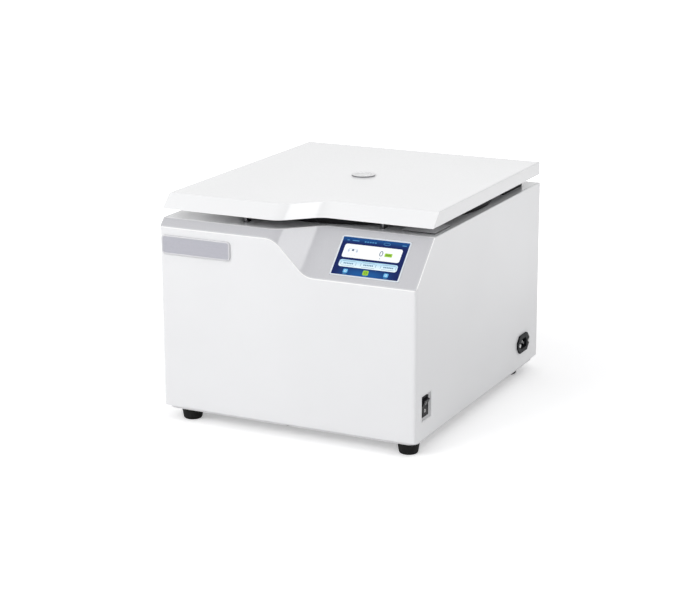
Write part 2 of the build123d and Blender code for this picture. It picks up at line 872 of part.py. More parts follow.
def power_inlet():
    """Flanged mains inlet with its deep socket."""
    outward = Plane(origin=(side, inlet_y, inlet_z), x_dir=(0, 1, 0), z_dir=(1, 0, 0))
    flange = outward * extrude(inlet_flange_outline(), inlet_flange_thickness)
    half_w = inlet_body_width / 2
    half_h = inlet_body_height / 2
    body = block(side - inlet_body_depth, side, inlet_y - half_w, inlet_y + half_w,
                 inlet_z - half_h, inlet_z + half_h)
    inlet = flange + body
    face = side + inlet_flange_thickness
    socket = block(face - inlet_socket_depth, face + 1, inlet_y - inlet_socket_width / 2,
                   inlet_y + inlet_socket_width / 2, inlet_z - inlet_socket_height / 2,
                   inlet_z + inlet_socket_height / 2)
    lower = socket.edges().filter_by(Axis.X).sort_by(Axis.Z)[2:]
    inlet -= chamfer(lower, inlet_socket_corner)
    for end in (-1, 1):
        inlet -= rod_x(side - 1, face + 1, inlet_y + end * inlet_screw_pitch / 2, inlet_z,
                       inlet_screw_radius + screw_gap)
    for y, z in inlet_pin_places():
        inlet -= inlet_blade(y, z, snug_gap)
    return inlet


def inlet_pin_places():
    low, high = inlet_z - inlet_pin_offset, inlet_z + inlet_pin_offset
    return [(inlet_y - inlet_pin_pitch, low), (inlet_y, high), (inlet_y + inlet_pin_pitch, low)]


def inlet_blade(y, z, extra=0.0):
    """Flat contact blade, from behind the body to inside the socket."""
    bottom = side + inlet_flange_thickness - inlet_socket_depth
    half_w = inlet_pin_half_width + extra
    half_h = inlet_pin_half_height + extra
    return block(side - inlet_body_depth - inlet_pin_tail, bottom + inlet_pin_length,
                 y - half_w, y + half_w, z - half_h, z + half_h)


def one_inlet_screw(end):
    y = inlet_y + end * inlet_screw_pitch / 2
    face = side + inlet_flange_thickness
    screw = rod_x(side - inlet_screw_length, face, y, inlet_z, inlet_screw_radius)
    head = rod_x(face, face + inlet_screw_head, y, inlet_z, inlet_screw_head_radius)
    slot_x = face + inlet_screw_head - inlet_screw_slot_depth
    half = inlet_screw_slot / 2
    reach = inlet_screw_radius
    cross = block(slot_x, side + body_width, y - half, y + half, inlet_z - reach, inlet_z + reach)
    cross += block(slot_x, side + body_width, y - reach, y + reach, inlet_z - half, inlet_z + half)
    nut = rod_x(inner_side - inlet_nut_height, inner_side, y, inlet_z, inlet_nut_radius)
    return screw + head + nut - cross


# ---------------------------------------------------------------- chamber
def chamber_bowl():
    """Spun stainless bowl hung by its rim on the deck."""
    outside = post(0, axis_y, bowl_floor - bowl_sheet, deck_top, bowl_outer)
    outside = fillet(outside.edges().sort_by(Axis.Z)[:1], bowl_corner_radius)
    inside = post(0, axis_y, bowl_floor, deck_top + 5, bowl_radius)
    inside = fillet(inside.edges().sort_by(Axis.Z)[:1], bowl_corner_radius - bowl_sheet)
    rim = ring(deck_top, deck_top + bowl_sheet, bowl_radius, bowl_outer + bowl_rim_width)
    return outside + rim - inside - post(0, axis_y, bowl_floor - 5, bowl_floor + 5, boot_radius)


def chamber_seal():
    """Black rubber ring that meets the lid's liner, hollow on its inner side like a lip seal."""
    top = liner_bottom - fit_gap
    seal = ring(deck_top, top, seal_inner, seal_outer)
    seal = fillet(seal.edges().sort_by(Axis.Z)[-2:], seal_edge_radius)
    lip_z = (deck_top + top - seal_lip_height) / 2
    return seal - ring(lip_z, lip_z + seal_lip_height, seal_inner - 1, seal_inner + seal_lip_depth)


def one_lid_buffer(end):
    """Rubber strip on the deck's edge, on which the closed lid rests beside its hinges."""
    x0, x1 = sorted((end * (side - buffer_side_gap), end * (side - buffer_side_gap - buffer_width)))
    y1 = rear - buffer_rear_gap
    buffer = block(x0, x1, y1 - buffer_length, y1, deck_top, liner_bottom - fit_gap)
    return fillet(upright_edges(buffer), buffer_corner_radius)


def guard_ring():
    return ring(guard_bottom, deck_bottom - guard_below_deck, guard_inner, guard_outer)


def one_guard_leg(x, y, angle):
    """Angle leg from the base plate to the guard ring's underside."""
    radial = Rot(0, 0, angle)
    upright = Box(guard_leg_thickness, guard_leg_width, guard_bottom - base_top)
    foot = Pos(-guard_leg_foot / 2, 0, -(guard_bottom - base_top - guard_leg_thickness) / 2)
    foot *= Box(guard_leg_foot, guard_leg_width, guard_leg_thickness)
    leg = upright + foot
    return Pos(x, y, (guard_bottom + base_top) / 2) * radial * leg


# ---------------------------------------------------------------- motor
def damper_places():
    return around_axis(damper_count, damper_circle_radius, 45.0)


def one_pillar(x, y):
    return post(x, y, base_top, plate_bottom - damper_height, pillar_radius)


def one_damper(x, y):
    """Waisted rubber mount."""
    z0, z1 = plate_bottom - damper_height, plate_bottom
    middle = (z0 + z1) / 2
    lower = Pos(x, y, (z0 + middle) / 2) * Cone(damper_radius, damper_radius - damper_waist, middle - z0)
    upper = Pos(x, y, (z1 + middle) / 2) * Cone(damper_radius - damper_waist, damper_radius, z1 - middle)
    return lower + upper


def motor_plate():
    plate = ring(plate_bottom, plate_top, spigot_radius + snug_gap, motor_plate_radius)
    return chamfer(plate.edges().sort_by(Axis.Z)[-1:], 1.0)


def motor_case():
    """Finned barrel of the motor."""
    case = ring(motor_barrel_bottom, motor_barrel_top, motor_radius - motor_wall, motor_radius)
    fin_height = motor_length - 12.0
    middle = (motor_barrel_bottom + motor_barrel_top) / 2
    for x, y, angle in around_axis(motor_fin_count, motor_radius + motor_fin_height / 2 - 0.5, 7.5):
        fin = Box(motor_fin_height + 1.0, motor_fin_width, fin_height)
        case += Pos(x, y, middle) * Rot(0, 0, angle) * fin
    return case


def bearing_seat(z0, z1):
    return post(0, axis_y, z0, z1, bearing_outer_radius + snug_gap)


def motor_top_cap():
    """Upper end cap with the spigot that centres the motor in its plate."""
    cap = post(0, axis_y, motor_barrel_top, motor_top, motor_radius)
    cap += post(0, axis_y, motor_top, plate_top, spigot_radius)
    cap -= bearing_seat(motor_barrel_top - 1, motor_barrel_top + bearing_width)
    return cap - post(0, axis_y, motor_barrel_top, plate_top + 1, shaft_collar_radius + 1.0)


def motor_bottom_cap():
    cap = post(0, axis_y, motor_bottom, motor_barrel_bottom, motor_radius)
    cap -= bearing_seat(motor_barrel_bottom - bearing_width, motor_barrel_bottom + 1)
    half = terminal_box_width / 2
    box_front = axis_y - motor_radius - terminal_box_reach
    terminals = block(-half, half, box_front, axis_y - motor_radius + 5, motor_bottom, motor_barrel_bottom)
    return cap + terminals


def stator_solids():
    """Laminated ring and its two winding heads."""
    outer = motor_radius - motor_wall - snug_gap
    inner = outer - stator_thickness
    middle = (motor_barrel_bottom + motor_barrel_top) / 2
    z0, z1 = middle - stator_height / 2, middle + stator_height / 2
    core = ring(z0, z1, inner, outer)
    heads = []
    for low in (z0 - winding_height, z1):
        head = ring(low, low + winding_height, inner + 1.5, inner + 1.5 + winding_radial)
        heads.append(fillet(head.edges(), 3.0))
    return core, heads


def rotor_core():
    """Motor rotor: a plain core pressed on the shaft."""
    outer = motor_radius - motor_wall - snug_gap - stator_thickness - core_gap
    middle = (motor_barrel_bottom + motor_barrel_top) / 2
    return ring(middle - core_height / 2, middle + core_height / 2, shaft_collar_radius, outer)


def bearing_levels():
    """Bottom of each ball bearing."""
    return [motor_barrel_bottom - bearing_width, motor_barrel_top]


def ball_track(z):
    """Torus that both races are grooved with."""
    track_radius = (bearing_outer_radius + shaft_radius) / 2
    return Pos(0, axis_y, z + bearing_width / 2) * Torus(track_radius, ball_radius + running_gap)


def outer_race(z):
    race = ring(z, z + bearing_width, bearing_outer_radius - bearing_race, bearing_outer_radius)
    return race - ball_track(z)


def inner_race(z):
    race = ring(z, z + bearing_width, shaft_radius + snug_gap, shaft_radius + bearing_race)
    return race - ball_track(z)


def bearing_balls(z):
    track_radius = (bearing_outer_radius + shaft_radius) / 2
    places = around_axis(ball_count, track_radius)
    return [Pos(x, y, z + bearing_width / 2) * Sphere(ball_radius) for x, y, _ in places]


def spindle():
    """Motor shaft: thin at the bearings, thick between them, long nose through the rotor's hub."""
    low, high = bearing_levels()
    shaft = post(0, axis_y, low, high + bearing_width, shaft_radius)
    shaft += post(0, axis_y, low + bearing_width, high, shaft_collar_radius)
    shaft += post(0, axis_y, high + bearing_width, hub_bottom, shaft_collar_radius)
    nose_top = hub_top + spindle_nose
    nose = post(0, axis_y, hub_bottom, nose_top, spindle_radius)
    nose = chamfer(nose.edges().sort_by(Axis.Z)[-1:], 1.0)
    return shaft + nose


def shaft_boot():
    """Rubber bellows from the bowl's floor down to the motor plate."""
    z_top = bowl_floor + boot_wall
    z_low = plate_top
    neck = shaft_collar_radius + boot_bore_gap
    waist = boot_radius - 2 * boot_wall
    fold = (bowl_floor - plate_top) / 4
    outline = [
        (waist, z_low),
        (boot_radius + 2, z_low),
        (boot_radius + 2, z_low + boot_wall),
        (waist + boot_wall, z_low + fold),
        (boot_radius - snug_gap, z_low + 2 * fold),
        (waist + boot_wall, z_low + 3 * fold),
        (boot_radius - snug_gap, bowl_floor - bowl_sheet - 0.2),
        (boot_radius - snug_gap, bowl_floor),
        (boot_radius + boot_flange, bowl_floor),
        (boot_radius + boot_flange, z_top),
        (neck, z_top),
        (neck, bowl_floor),
        (boot_radius - 2 * boot_wall, bowl_floor),
        (waist, z_low + 3 * fold),
        (boot_radius - 2 * boot_wall + 2, z_low + 2 * fold),
        (waist, z_low + fold),
    ]
    profile = Plane.XZ * make_face(Polyline(*outline, close=True))
    return Pos(0, axis_y, 0) * revolve(profile, Axis.Z, 360)


# ---------------------------------------------------------------- swing-out rotor
def rotor_yoke():
    """Two bars joined by a hub block, carrying the buckets between them."""
    bar_end = trunnion_radius_out + yoke_bar_end
    z0, z1 = trunnion_z - yoke_bar_below, trunnion_z + yoke_bar_above
    half_hub = hub_block_width / 2
    yoke = block(-half_hub, half_hub, axis_y - bar_outer_y, axis_y + bar_outer_y, z0, z1)
    for sign in (-1, 1):
        y0, y1 = sorted((axis_y + sign * bar_inner_y, axis_y + sign * bar_outer_y))
        bar = block(-bar_end, bar_end, y0, y1, z0, z1)
        yoke += fillet(bar.edges().filter_by(Axis.Y), 8.0)
    yoke += post(0, axis_y, hub_bottom, hub_top, hub_radius)
    yoke -= post(0, axis_y, hub_bottom - 1, hub_top + 1, spindle_radius + snug_gap)
    hollow_y = (hub_radius + bar_inner_y) / 2
    for sign in (-1, 1):
        yoke -= post(0, axis_y + sign * hollow_y, z0 - 1, z1 + 1, yoke_hollow_radius)
        for end in (-1, 1):
            x = end * trunnion_radius_out
            y = axis_y + sign * (bar_inner_y + bar_outer_y) / 2
            reach = yoke_bar_thickness / 2 + 1
            yoke -= rod_y(x, y - reach, y + reach, trunnion_z, trunnion_pin_radius + snug_gap)
    return yoke


yoke_hollow_radius = 15.0


def one_trunnion_pin(end, sign):
    """Headed pin through a bar into the bucket's boss."""
    x = end * trunnion_radius_out
    tip = axis_y + sign * (boss_face_y - trunnion_reach)
    bar_face = axis_y + sign * bar_outer_y
    head_face = bar_face + sign * trunnion_head
    pin = rod_y(x, *sorted((tip, bar_face)), trunnion_z, trunnion_pin_radius)
    return pin + rod_y(x, *sorted((bar_face, head_face)), trunnion_z, trunnion_head_radius)


def bucket(end):
    """Open box for a microplate, hung in two slotted bosses."""
    x = end * trunnion_radius_out
    half_x, half_y = bucket_outer_x / 2, bucket_outer_y / 2
    box = block(x - half_x, x + half_x, axis_y - half_y, axis_y + half_y, bucket_bottom, bucket_rim)
    box = fillet(upright_edges(box), bucket_corner_radius)
    room = block(x - bucket_inner_x / 2, x + bucket_inner_x / 2, axis_y - bucket_inner_y / 2,
                 axis_y + bucket_inner_y / 2, bucket_bottom + bucket_floor, bucket_rim + 1)
    room = fillet(upright_edges(room), bucket_corner_radius - bucket_wall)
    shell = box - room
    slot_radius = trunnion_pin_radius + running_gap
    for sign in (-1, 1):
        y0, y1 = sorted((axis_y + sign * half_y, axis_y + sign * boss_face_y))
        boss = block(x - bucket_boss_width / 2, x + bucket_boss_width / 2, y0, y1,
                     trunnion_z - bucket_boss_below, bucket_rim)
        slot = rod_y(x, y0, y1, trunnion_z, slot_radius)
        slot += block(x - slot_radius, x + slot_radius, y0, y1, trunnion_z - bucket_boss_below, trunnion_z)
        shell += boss - slot
    finger = bucket_inner_x / 4
    for sign in (-1, 1):
        y = axis_y + sign * half_y
        shell -= block(x - bucket_inner_x, x + bucket_inner_x, axis_y - finger, axis_y + finger,
                       bucket_rim - bucket_finger_drop, bucket_rim + 1)
    return shell


bucket_finger_drop = 22.0


def rotor_nut():
    """Knurled hand nut on the spindle's nose."""
    nut = Pos(0, axis_y, hub_top) * extrude(Circle(nut_radius), nut_height)
    nut = chamfer(nut.edges().sort_by(Axis.Z)[-1:], 2.0)
    for x, y, _ in around_axis(nut_groove_count, nut_radius + 1.0):
        nut -= post(x, y, hub_top - 1, hub_top + nut_height + 1, 1.8)
    return nut - post(0, axis_y, hub_top - 1, hub_top + spindle_nose + fit_gap, spindle_radius + snug_gap)


nut_groove_count = 16


# ---------------------------------------------------------------- lid
def lid_form(inset, bottom, top):
    """Lid's outline, with its front leaning back along the S, shrunk by inset on every side."""
    form = block(-lid_side + inset, lid_side - inset, front, lid_rear - inset, bottom, top)
    return form - ahead_of_lid(lean_inset(inset))


def lid_shell():
    """White pan-shaped lid, open underneath."""
    form = lid_form(0.0, lid_bottom, lid_top)
    form = fillet(form.edges().group_by(Axis.Z)[-1], lid_edge_radius)
    shell = form - lid_form(lid_sheet, lid_bottom - 1, lid_top - lid_sheet)
    return shell - post(0, sight_y, lid_top - 5, lid_top + 1, sight_bore_radius + snug_gap)


def lid_liner():
    """Flat inner sheet of the lid, which closes on the seal."""
    liner = lid_form(lid_sheet + fit_gap, liner_bottom, liner_bottom + liner_thickness)
    return liner - post(0, sight_y, liner_bottom - 1, lid_top, sight_bore_radius + snug_gap)


def sight_collar():
    tube = ring(liner_bottom, lid_top, sight_bore_radius - sight_wall, sight_bore_radius, 0, sight_y)
    flange_top = lid_top + sight_flange_height
    flange = ring(lid_top, flange_top, sight_bore_radius - sight_wall, sight_flange_radius, 0, sight_y)
    flange = chamfer(flange.edges().sort_by(Axis.Z)[-1:], 0.6)
    seat_top = lid_top + sight_flange_height - sight_window_drop - sight_window_thickness
    seat = ring(seat_top - 1.5, seat_top, sight_bore_radius - sight_wall - 2, sight_bore_radius, 0, sight_y)
    return tube + flange + seat


def sight_window():
    top = lid_top + sight_flange_height - sight_window_drop
    return post(0, sight_y, top - sight_window_thickness, top, sight_bore_radius - sight_wall - snug_gap)


def one_hook(x, y):
    """Steel tongue under the liner with a window for the lock's bolt."""
    tip = liner_bottom - hook_depth
    tongue = block(x - hook_thickness / 2, x + hook_thickness / 2, y - hook_width / 2, y + hook_width / 2,
                   tip, liner_bottom)
    tongue = chamfer(tongue.edges().filter_by(Axis.X).sort_by(Axis.Z)[:2], 4.0)
    window_z = tip + hook_window_up
    half = hook_window / 2
    tongue -= block(x - 10, x + 10, y - half, y + half, window_z - half, window_z + half)
    foot = block(x - hook_foot / 2, x + hook_foot / 2, y - hook_width / 2, y + hook_width / 2,
                 liner_bottom - 1.5, liner_bottom)
    return tongue + foot


def bolt_level():
    return liner_bottom - hook_depth + hook_window_up


def lock_frame(x, y):
    """Bracket under the deck: a slotted top and two guide cheeks for the bolt."""
    half_y = lock_body_size / 2 + lock_wall
    low = bolt_level() - lock_body_size / 2 - lock_wall
    x0 = x - hook_thickness / 2 - slot_side_gap - lock_wall
    x1 = x + hook_thickness / 2 + slot_side_gap + lock_wall
    x2 = x1 + lock_body_length + lock_frame_tail
    top = block(x0, x2, y - half_y, y + half_y, deck_bottom - lock_wall, deck_bottom)
    near = block(x0, x0 + lock_wall, y - half_y, y + half_y, low, deck_bottom)
    far = block(x1 - lock_wall, x1, y - half_y, y + half_y, low, deck_bottom)
    hole = rod_x(x0 - 1, x2 + 1, y, bolt_level(), lock_bolt_radius + running_gap)
    return top + near + far - hook_slot(x, y) - hole


def lock_solenoid(x, y):
    x1 = x + hook_thickness / 2 + slot_side_gap + lock_wall
    half = lock_body_size / 2
    low, high = bolt_level() - half, bolt_level() + half
    case = block(x1, x1 + lock_body_length, y - half, y + half, low, high)
    case = fillet(case.edges().filter_by(Axis.X), 3.0)
    return case - rod_x(x1 - 1, x1 + lock_body_length + 1, y, bolt_level(), lock_bolt_radius + running_gap)


def lock_bolt(x, y):
    """Round bolt, drawn back clear of the hook."""
    nose = x + hook_thickness / 2 + lock_rest_gap
    tail = x + hook_thickness / 2 + slot_side_gap + lock_wall + lock_body_length + lock_bolt_tail
    bolt = rod_x(nose, tail, y, bolt_level(), lock_bolt_radius)
    head = rod_x(tail, tail + lock_bolt_head, y, bolt_level(), lock_bolt_head_radius)
    return chamfer(bolt.edges().sort_by(Axis.X)[:1], 1.0) + head


# ---------------------------------------------------------------- hinges
def knuckle(x0, x1):
    return rod_x(x0, x1, hinge_y, hinge_z, knuckle_radius)


def hinge_pin_bore(x, extra):
    half = hinge_width / 2
    return rod_x(x - half - 2, x + half + 2, hinge_y, hinge_z, hinge_pin_radius + extra)


def hinge_holes(x, z0, z1):
    """Two screw holes in a leaf, along X."""
    y = hinge_y - hinge_leaf_length + hinge_screw_inset
    holes = post(x - hinge_width / 4, y, z0, z1, hinge_screw_radius + screw_gap)
    return holes + post(x + hinge_width / 4, y, z0, z1, hinge_screw_radius + screw_gap)


hinge_screw_inset = 9.0
hinge_screw_radius = 2.0
hinge_screw_head_radius = 3.5
hinge_screw_head = 1.6
hinge_screw_tip = 0.8
hinge_nut_radius = 4.0
hinge_nut_height = 3.2


def hinge_base(x):
    """Fixed leaf on the deck with the two outer knuckles."""
    half = hinge_width / 2
    z1 = deck_top + hinge_leaf_thickness
    leaf = block(x - half, x + half, hinge_y - hinge_leaf_length, hinge_y - 2, deck_top, z1)
    middle = hinge_middle_width / 2 + hinge_joint_gap
    for x0, x1 in ((x - half, x - middle), (x + middle, x + half)):
        web = block(x0, x1, hinge_y - knuckle_radius, hinge_y, deck_top, hinge_z)
        leaf += web + knuckle(x0, x1)
    return leaf - hinge_pin_bore(x, snug_gap) - hinge_holes(x, deck_top - 1, z1 + 1)


def hinge_leaf(x):
    """Moving leaf under the liner with the middle knuckle."""
    half = hinge_width / 2
    z0 = liner_bottom - hinge_leaf_thickness
    leaf = block(x - half, x + half, hinge_y - hinge_leaf_length, hinge_y - knuckle_radius - 1.0,
                 z0, liner_bottom)
    middle = hinge_middle_width / 2
    web = block(x - middle, x + middle, hinge_y - knuckle_radius - 1.5, hinge_y, hinge_z, liner_bottom)
    leaf += web + knuckle(x - middle, x + middle)
    return leaf - hinge_pin_bore(x, running_gap) - hinge_holes(x, z0 - 1, liner_bottom + 1)


def hinge_pin(x):
    half = hinge_width / 2
    pin = rod_x(x - half, x + half, hinge_y, hinge_z, hinge_pin_radius)
    head = rod_x(x + half, x + half + hinge_pin_head, hinge_y, hinge_z, hinge_pin_radius + hinge_pin_head)
    return pin + head


def hinge_screws(x, lower):
    """Two screws that hold a leaf, to the deck or to the liner."""
    y = hinge_y - hinge_leaf_length + hinge_screw_inset
    nut_form = extrude(RegularPolygon(hinge_nut_radius, 6), hinge_nut_height)
    reach = hinge_nut_height + hinge_screw_tip
    screws = []
    for dx in (-hinge_width / 4, hinge_width / 4):
        if lower:
            face = deck_top + hinge_leaf_thickness
            shank = post(x + dx, y, deck_bottom - reach, face, hinge_screw_radius)
            head = post(x + dx, y, face, face + hinge_screw_head, hinge_screw_head_radius)
            nut = Pos(x + dx, y, deck_bottom - hinge_nut_height) * nut_form
        else:
            face = liner_bottom - hinge_leaf_thickness
            seat = liner_bottom + liner_thickness
            shank = post(x + dx, y, face, seat + reach, hinge_screw_radius)
            head = post(x + dx, y, face - hinge_screw_head, face, hinge_screw_head_radius)
            nut = Pos(x + dx, y, seat) * nut_form
        screws.append(shank + head + nut)
    return screws


def drill_hinge_holes(shape, z0, z1):
    for end in (-1, 1):
        shape -= hinge_holes(end * hinge_x, z0, z1)
    return shape


# ---------------------------------------------------------------- fan and electronics
def fan_screw_places():
    offset = fan_size / 2 - fan_screw_inset
    return [(fan_x + dx, fan_z + dz) for dx in (-offset, offset) for dz in (-offset, offset)]


def fan_rear_face():
    return rear - rear_panel_sheet


def fan_frame():
    y1 = fan_rear_face()
    y0 = y1 - fan_depth
    half = fan_size / 2
    frame = block(fan_x - half, fan_x + half, y0, y1, fan_z - half, fan_z + half)
    frame = fillet(frame.edges().filter_by(Axis.Y), fan_corner_radius)
    frame -= rod_y(fan_x, y0 - 1, y1 + 1, fan_z, fan_bore_radius)
    for x, z in fan_screw_places():
        frame -= rod_y(x, y0 - 1, y1 + 1, z, rear_screw_radius + screw_gap)
    hub = rod_y(fan_x, y0, y0 + fan_hub_plate, fan_z, fan_hub_radius)
    struts = Box(2 * fan_bore_radius + 2, fan_hub_plate, fan_strut_width)
    cross = Pos(fan_x, y0 + fan_hub_plate / 2, fan_z) * (Rot(0, 45, 0) * struts + Rot(0, -45, 0) * struts)
    axle = rod_y(fan_x, y0, y0 + fan_axle_length, fan_z, fan_axle_radius)
    return frame + hub + cross + axle


def fan_wheel():
    """Hub with pitched blades, behind the grille."""
    y1 = fan_rear_face() - fan_wheel_gap
    y0 = y1 - fan_wheel_width
    wheel = rod_y(fan_x, y0, y1, fan_z, fan_hub_radius)
    root = fan_hub_radius - fan_blade_root
    blade_length = fan_bore_radius - fan_tip_gap - root
    blade = Rot(fan_blade_lean, 0, 0) * Box(blade_length, fan_blade_thickness, fan_wheel_width)
    blade = Pos(root + blade_length / 2, 0, 0) * blade
    for index in range(fan_blade_count):
        turned = Rot(0, index * 360.0 / fan_blade_count, 0) * blade
        wheel += Pos(fan_x, (y0 + y1) / 2, fan_z) * turned
    axle_end = fan_rear_face() - fan_depth + fan_axle_length
    return wheel - rod_y(fan_x, y0 - 1, axle_end + fan_axle_room, fan_z, fan_axle_radius + running_gap)


def one_fan_screw(x, z):
    screw = rod_y(x, rear - rear_panel_sheet - rear_screw_length, rear, z, rear_screw_radius)
    return screw + rod_y(x, rear, rear + rear_screw_head, z, rear_screw_head_radius)


def board_bracket():
    """Folded sheet that stands on the base plate and holds the main board."""
    x0, x1 = board_bracket_x, board_bracket_x + board_bracket_width
    y0, y1 = board_bracket_y, board_bracket_y + bracket_sheet
    wall = block(x0, x1, y0, y1, base_top, base_top + board_bracket_height)
    return wall + block(x0, x1, y0, y0 + board_bracket_foot, base_top, base_top + bracket_sheet)


def board_corners():
    x0, x1 = board_bracket_x + board_margin, board_bracket_x + board_bracket_width - board_margin
    z0, z1 = base_top + 2 * board_margin, base_top + board_bracket_height - board_margin
    return x0, x1, z0, z1


def board_standoffs():
    x0, x1, z0, z1 = board_corners()
    y0 = board_bracket_y + bracket_sheet
    xs = (x0 + standoff_inset, x1 - standoff_inset)
    zs = (z0 + standoff_inset, z1 - standoff_inset)
    places = [(x, z) for x in xs for z in zs]
    return [rod_y(x, y0, y0 + standoff_height, z, standoff_radius) for x, z in places]


def main_board():
    """Circuit board with its larger parts."""
    x0, x1, z0, z1 = board_corners()
    y0 = board_bracket_y + bracket_sheet + standoff_height
    y1 = y0 + board_thickness
    board = block(x0, x1, y0, y1, z0, z1)
    chip_x, chip_z = x0 + chip_inset, z0 + chip_inset
    board += block(chip_x, chip_x + chip_size, y1, y1 + chip_height, chip_z, chip_z + chip_size)
    connector_x, connector_z = x1 - connector_inset, z1 - connector_drop
    board += block(connector_x - connector_width, connector_x, y1, y1 + connector_reach,
                   connector_z - connector_height, connector_z)
    for index in range(3):
        x = x0 + capacitor_inset + index * capacitor_pitch
        board += rod_y(x, y1, y1 + capacitor_height, z0 + capacitor_rise, capacitor_radius)
    return board


def drive_case():
    half_x, half_y = drive_length / 2, drive_depth / 2
    case = block(drive_x - half_x, drive_x + half_x, drive_y - half_y, drive_y + half_y,
                 base_top, base_top + drive_height)
    return fillet(upright_edges(case), drive_corner_radius)


def drive_heat_sink():
    half_x, half_y = drive_length / 2, drive_depth / 2
    z0 = base_top + drive_height
    sink = block(drive_x - half_x, drive_x + half_x, drive_y - half_y, drive_y + half_y, z0, z0 + sink_base)
    pitch = (drive_depth - sink_fin_thickness) / (sink_fin_count - 1)
    for index in range(sink_fin_count):
        y = drive_y - half_y + index * pitch
        sink += block(drive_x - half_x, drive_x + half_x, y, y + sink_fin_thickness,
                      z0 + sink_base, z0 + sink_base + sink_fin_height)
    return sink


def power_supply():
    half_x, half_y = supply_length / 2, supply_depth / 2
    case = block(supply_x - half_x, supply_x + half_x, supply_y - half_y, supply_y + half_y,
                 base_top, base_top + supply_height)
    top = base_top + supply_height
    slot_reach = half_y - supply_slot_end_gap
    for index in range(supply_slot_count):
        x = supply_x - half_x + supply_slot_inset + index * supply_slot_pitch
        case -= block(x, x + supply_slot_width, supply_y - slot_reach, supply_y + slot_reach,
                      top - supply_slot_depth, top + 1)
    return case


def wire(points):
    """Round wire along straight runs with wide bends."""
    vectors = [Vector(*point) for point in points]
    radii = []
    for before, here, after in zip(vectors, vectors[1:], vectors[2:]):
        turn = math.radians((here - before).get_angle(after - here))
        shorter = min((here - before).length, (after - here).length)
        radii.append(0.45 * shorter / math.tan(turn / 2))
    path = FilletPolyline(*points, radius=radii)
    start = Plane(origin=points[0], z_dir=vectors[1] - vectors[0])
    return sweep(start * Circle(wire_radius), path=path)


def mains_wires():
    """From the inlet to the switch, and from the switch to the power supply."""
    inlet_back = side - inlet_body_depth - inlet_pin_tail
    switch_back = side - recess_depth - switch_body_depth - terminal_length
    supply_side = supply_x + supply_length / 2
    pin_y, pin_z = inlet_y - inlet_pin_pitch, inlet_z - inlet_pin_offset
    run = wire([
        (inlet_back, pin_y, pin_z),
        (inlet_back - 18, pin_y, pin_z),
        (wire_lane_x - 4, axis_y + 108, base_top + 12),
        (wire_lane_x, axis_y + 53, base_top + 9),
        (wire_lane_x, axis_y - 2, base_top + 10),
        (wire_lane_x, axis_y - 57, base_top + 9),
        (wire_lane_x, axis_y - 112, base_top + 10),
        (wire_lane_x - 2, switch_y + 73.5, base_top + 14),
        (switch_back - 20, switch_y + 18, switch_z - 6),
        (switch_back - 14, switch_y, switch_z),
        (switch_back, switch_y, switch_z),
    ])
    link = wire([
        (switch_back, switch_y, switch_z - terminal_pitch),
        (switch_back - 16, switch_y, switch_z - terminal_pitch),
        (switch_back - 30, switch_y + 14, base_top + 30),
        (supply_side + 14, supply_y - 20, base_top + 24),
        (supply_side, supply_y - 20, base_top + 24),
    ])
    return run, link


def motor_cable():
    """From the drive to the terminal box on the motor's lower cap."""
    drive_side = drive_y + drive_depth / 2
    terminals_y = axis_y - motor_radius - terminal_box_reach / 2
    box_side = -terminal_box_width / 2
    start_x = drive_x + drive_length / 4
    middle_y = (drive_side + terminals_y) / 2
    return wire([
        (start_x, drive_side, base_top + 20),
        (start_x, (drive_side + middle_y) / 2, base_top + 20),
        ((start_x + box_side) / 2 - 12, middle_y, base_top + 17),
        (box_side - 26, terminals_y - 6, base_top + 26),
        (box_side - 12, terminals_y, motor_bottom + motor_cap / 2),
        (box_side, terminals_y, motor_bottom + motor_cap / 2),
    ])


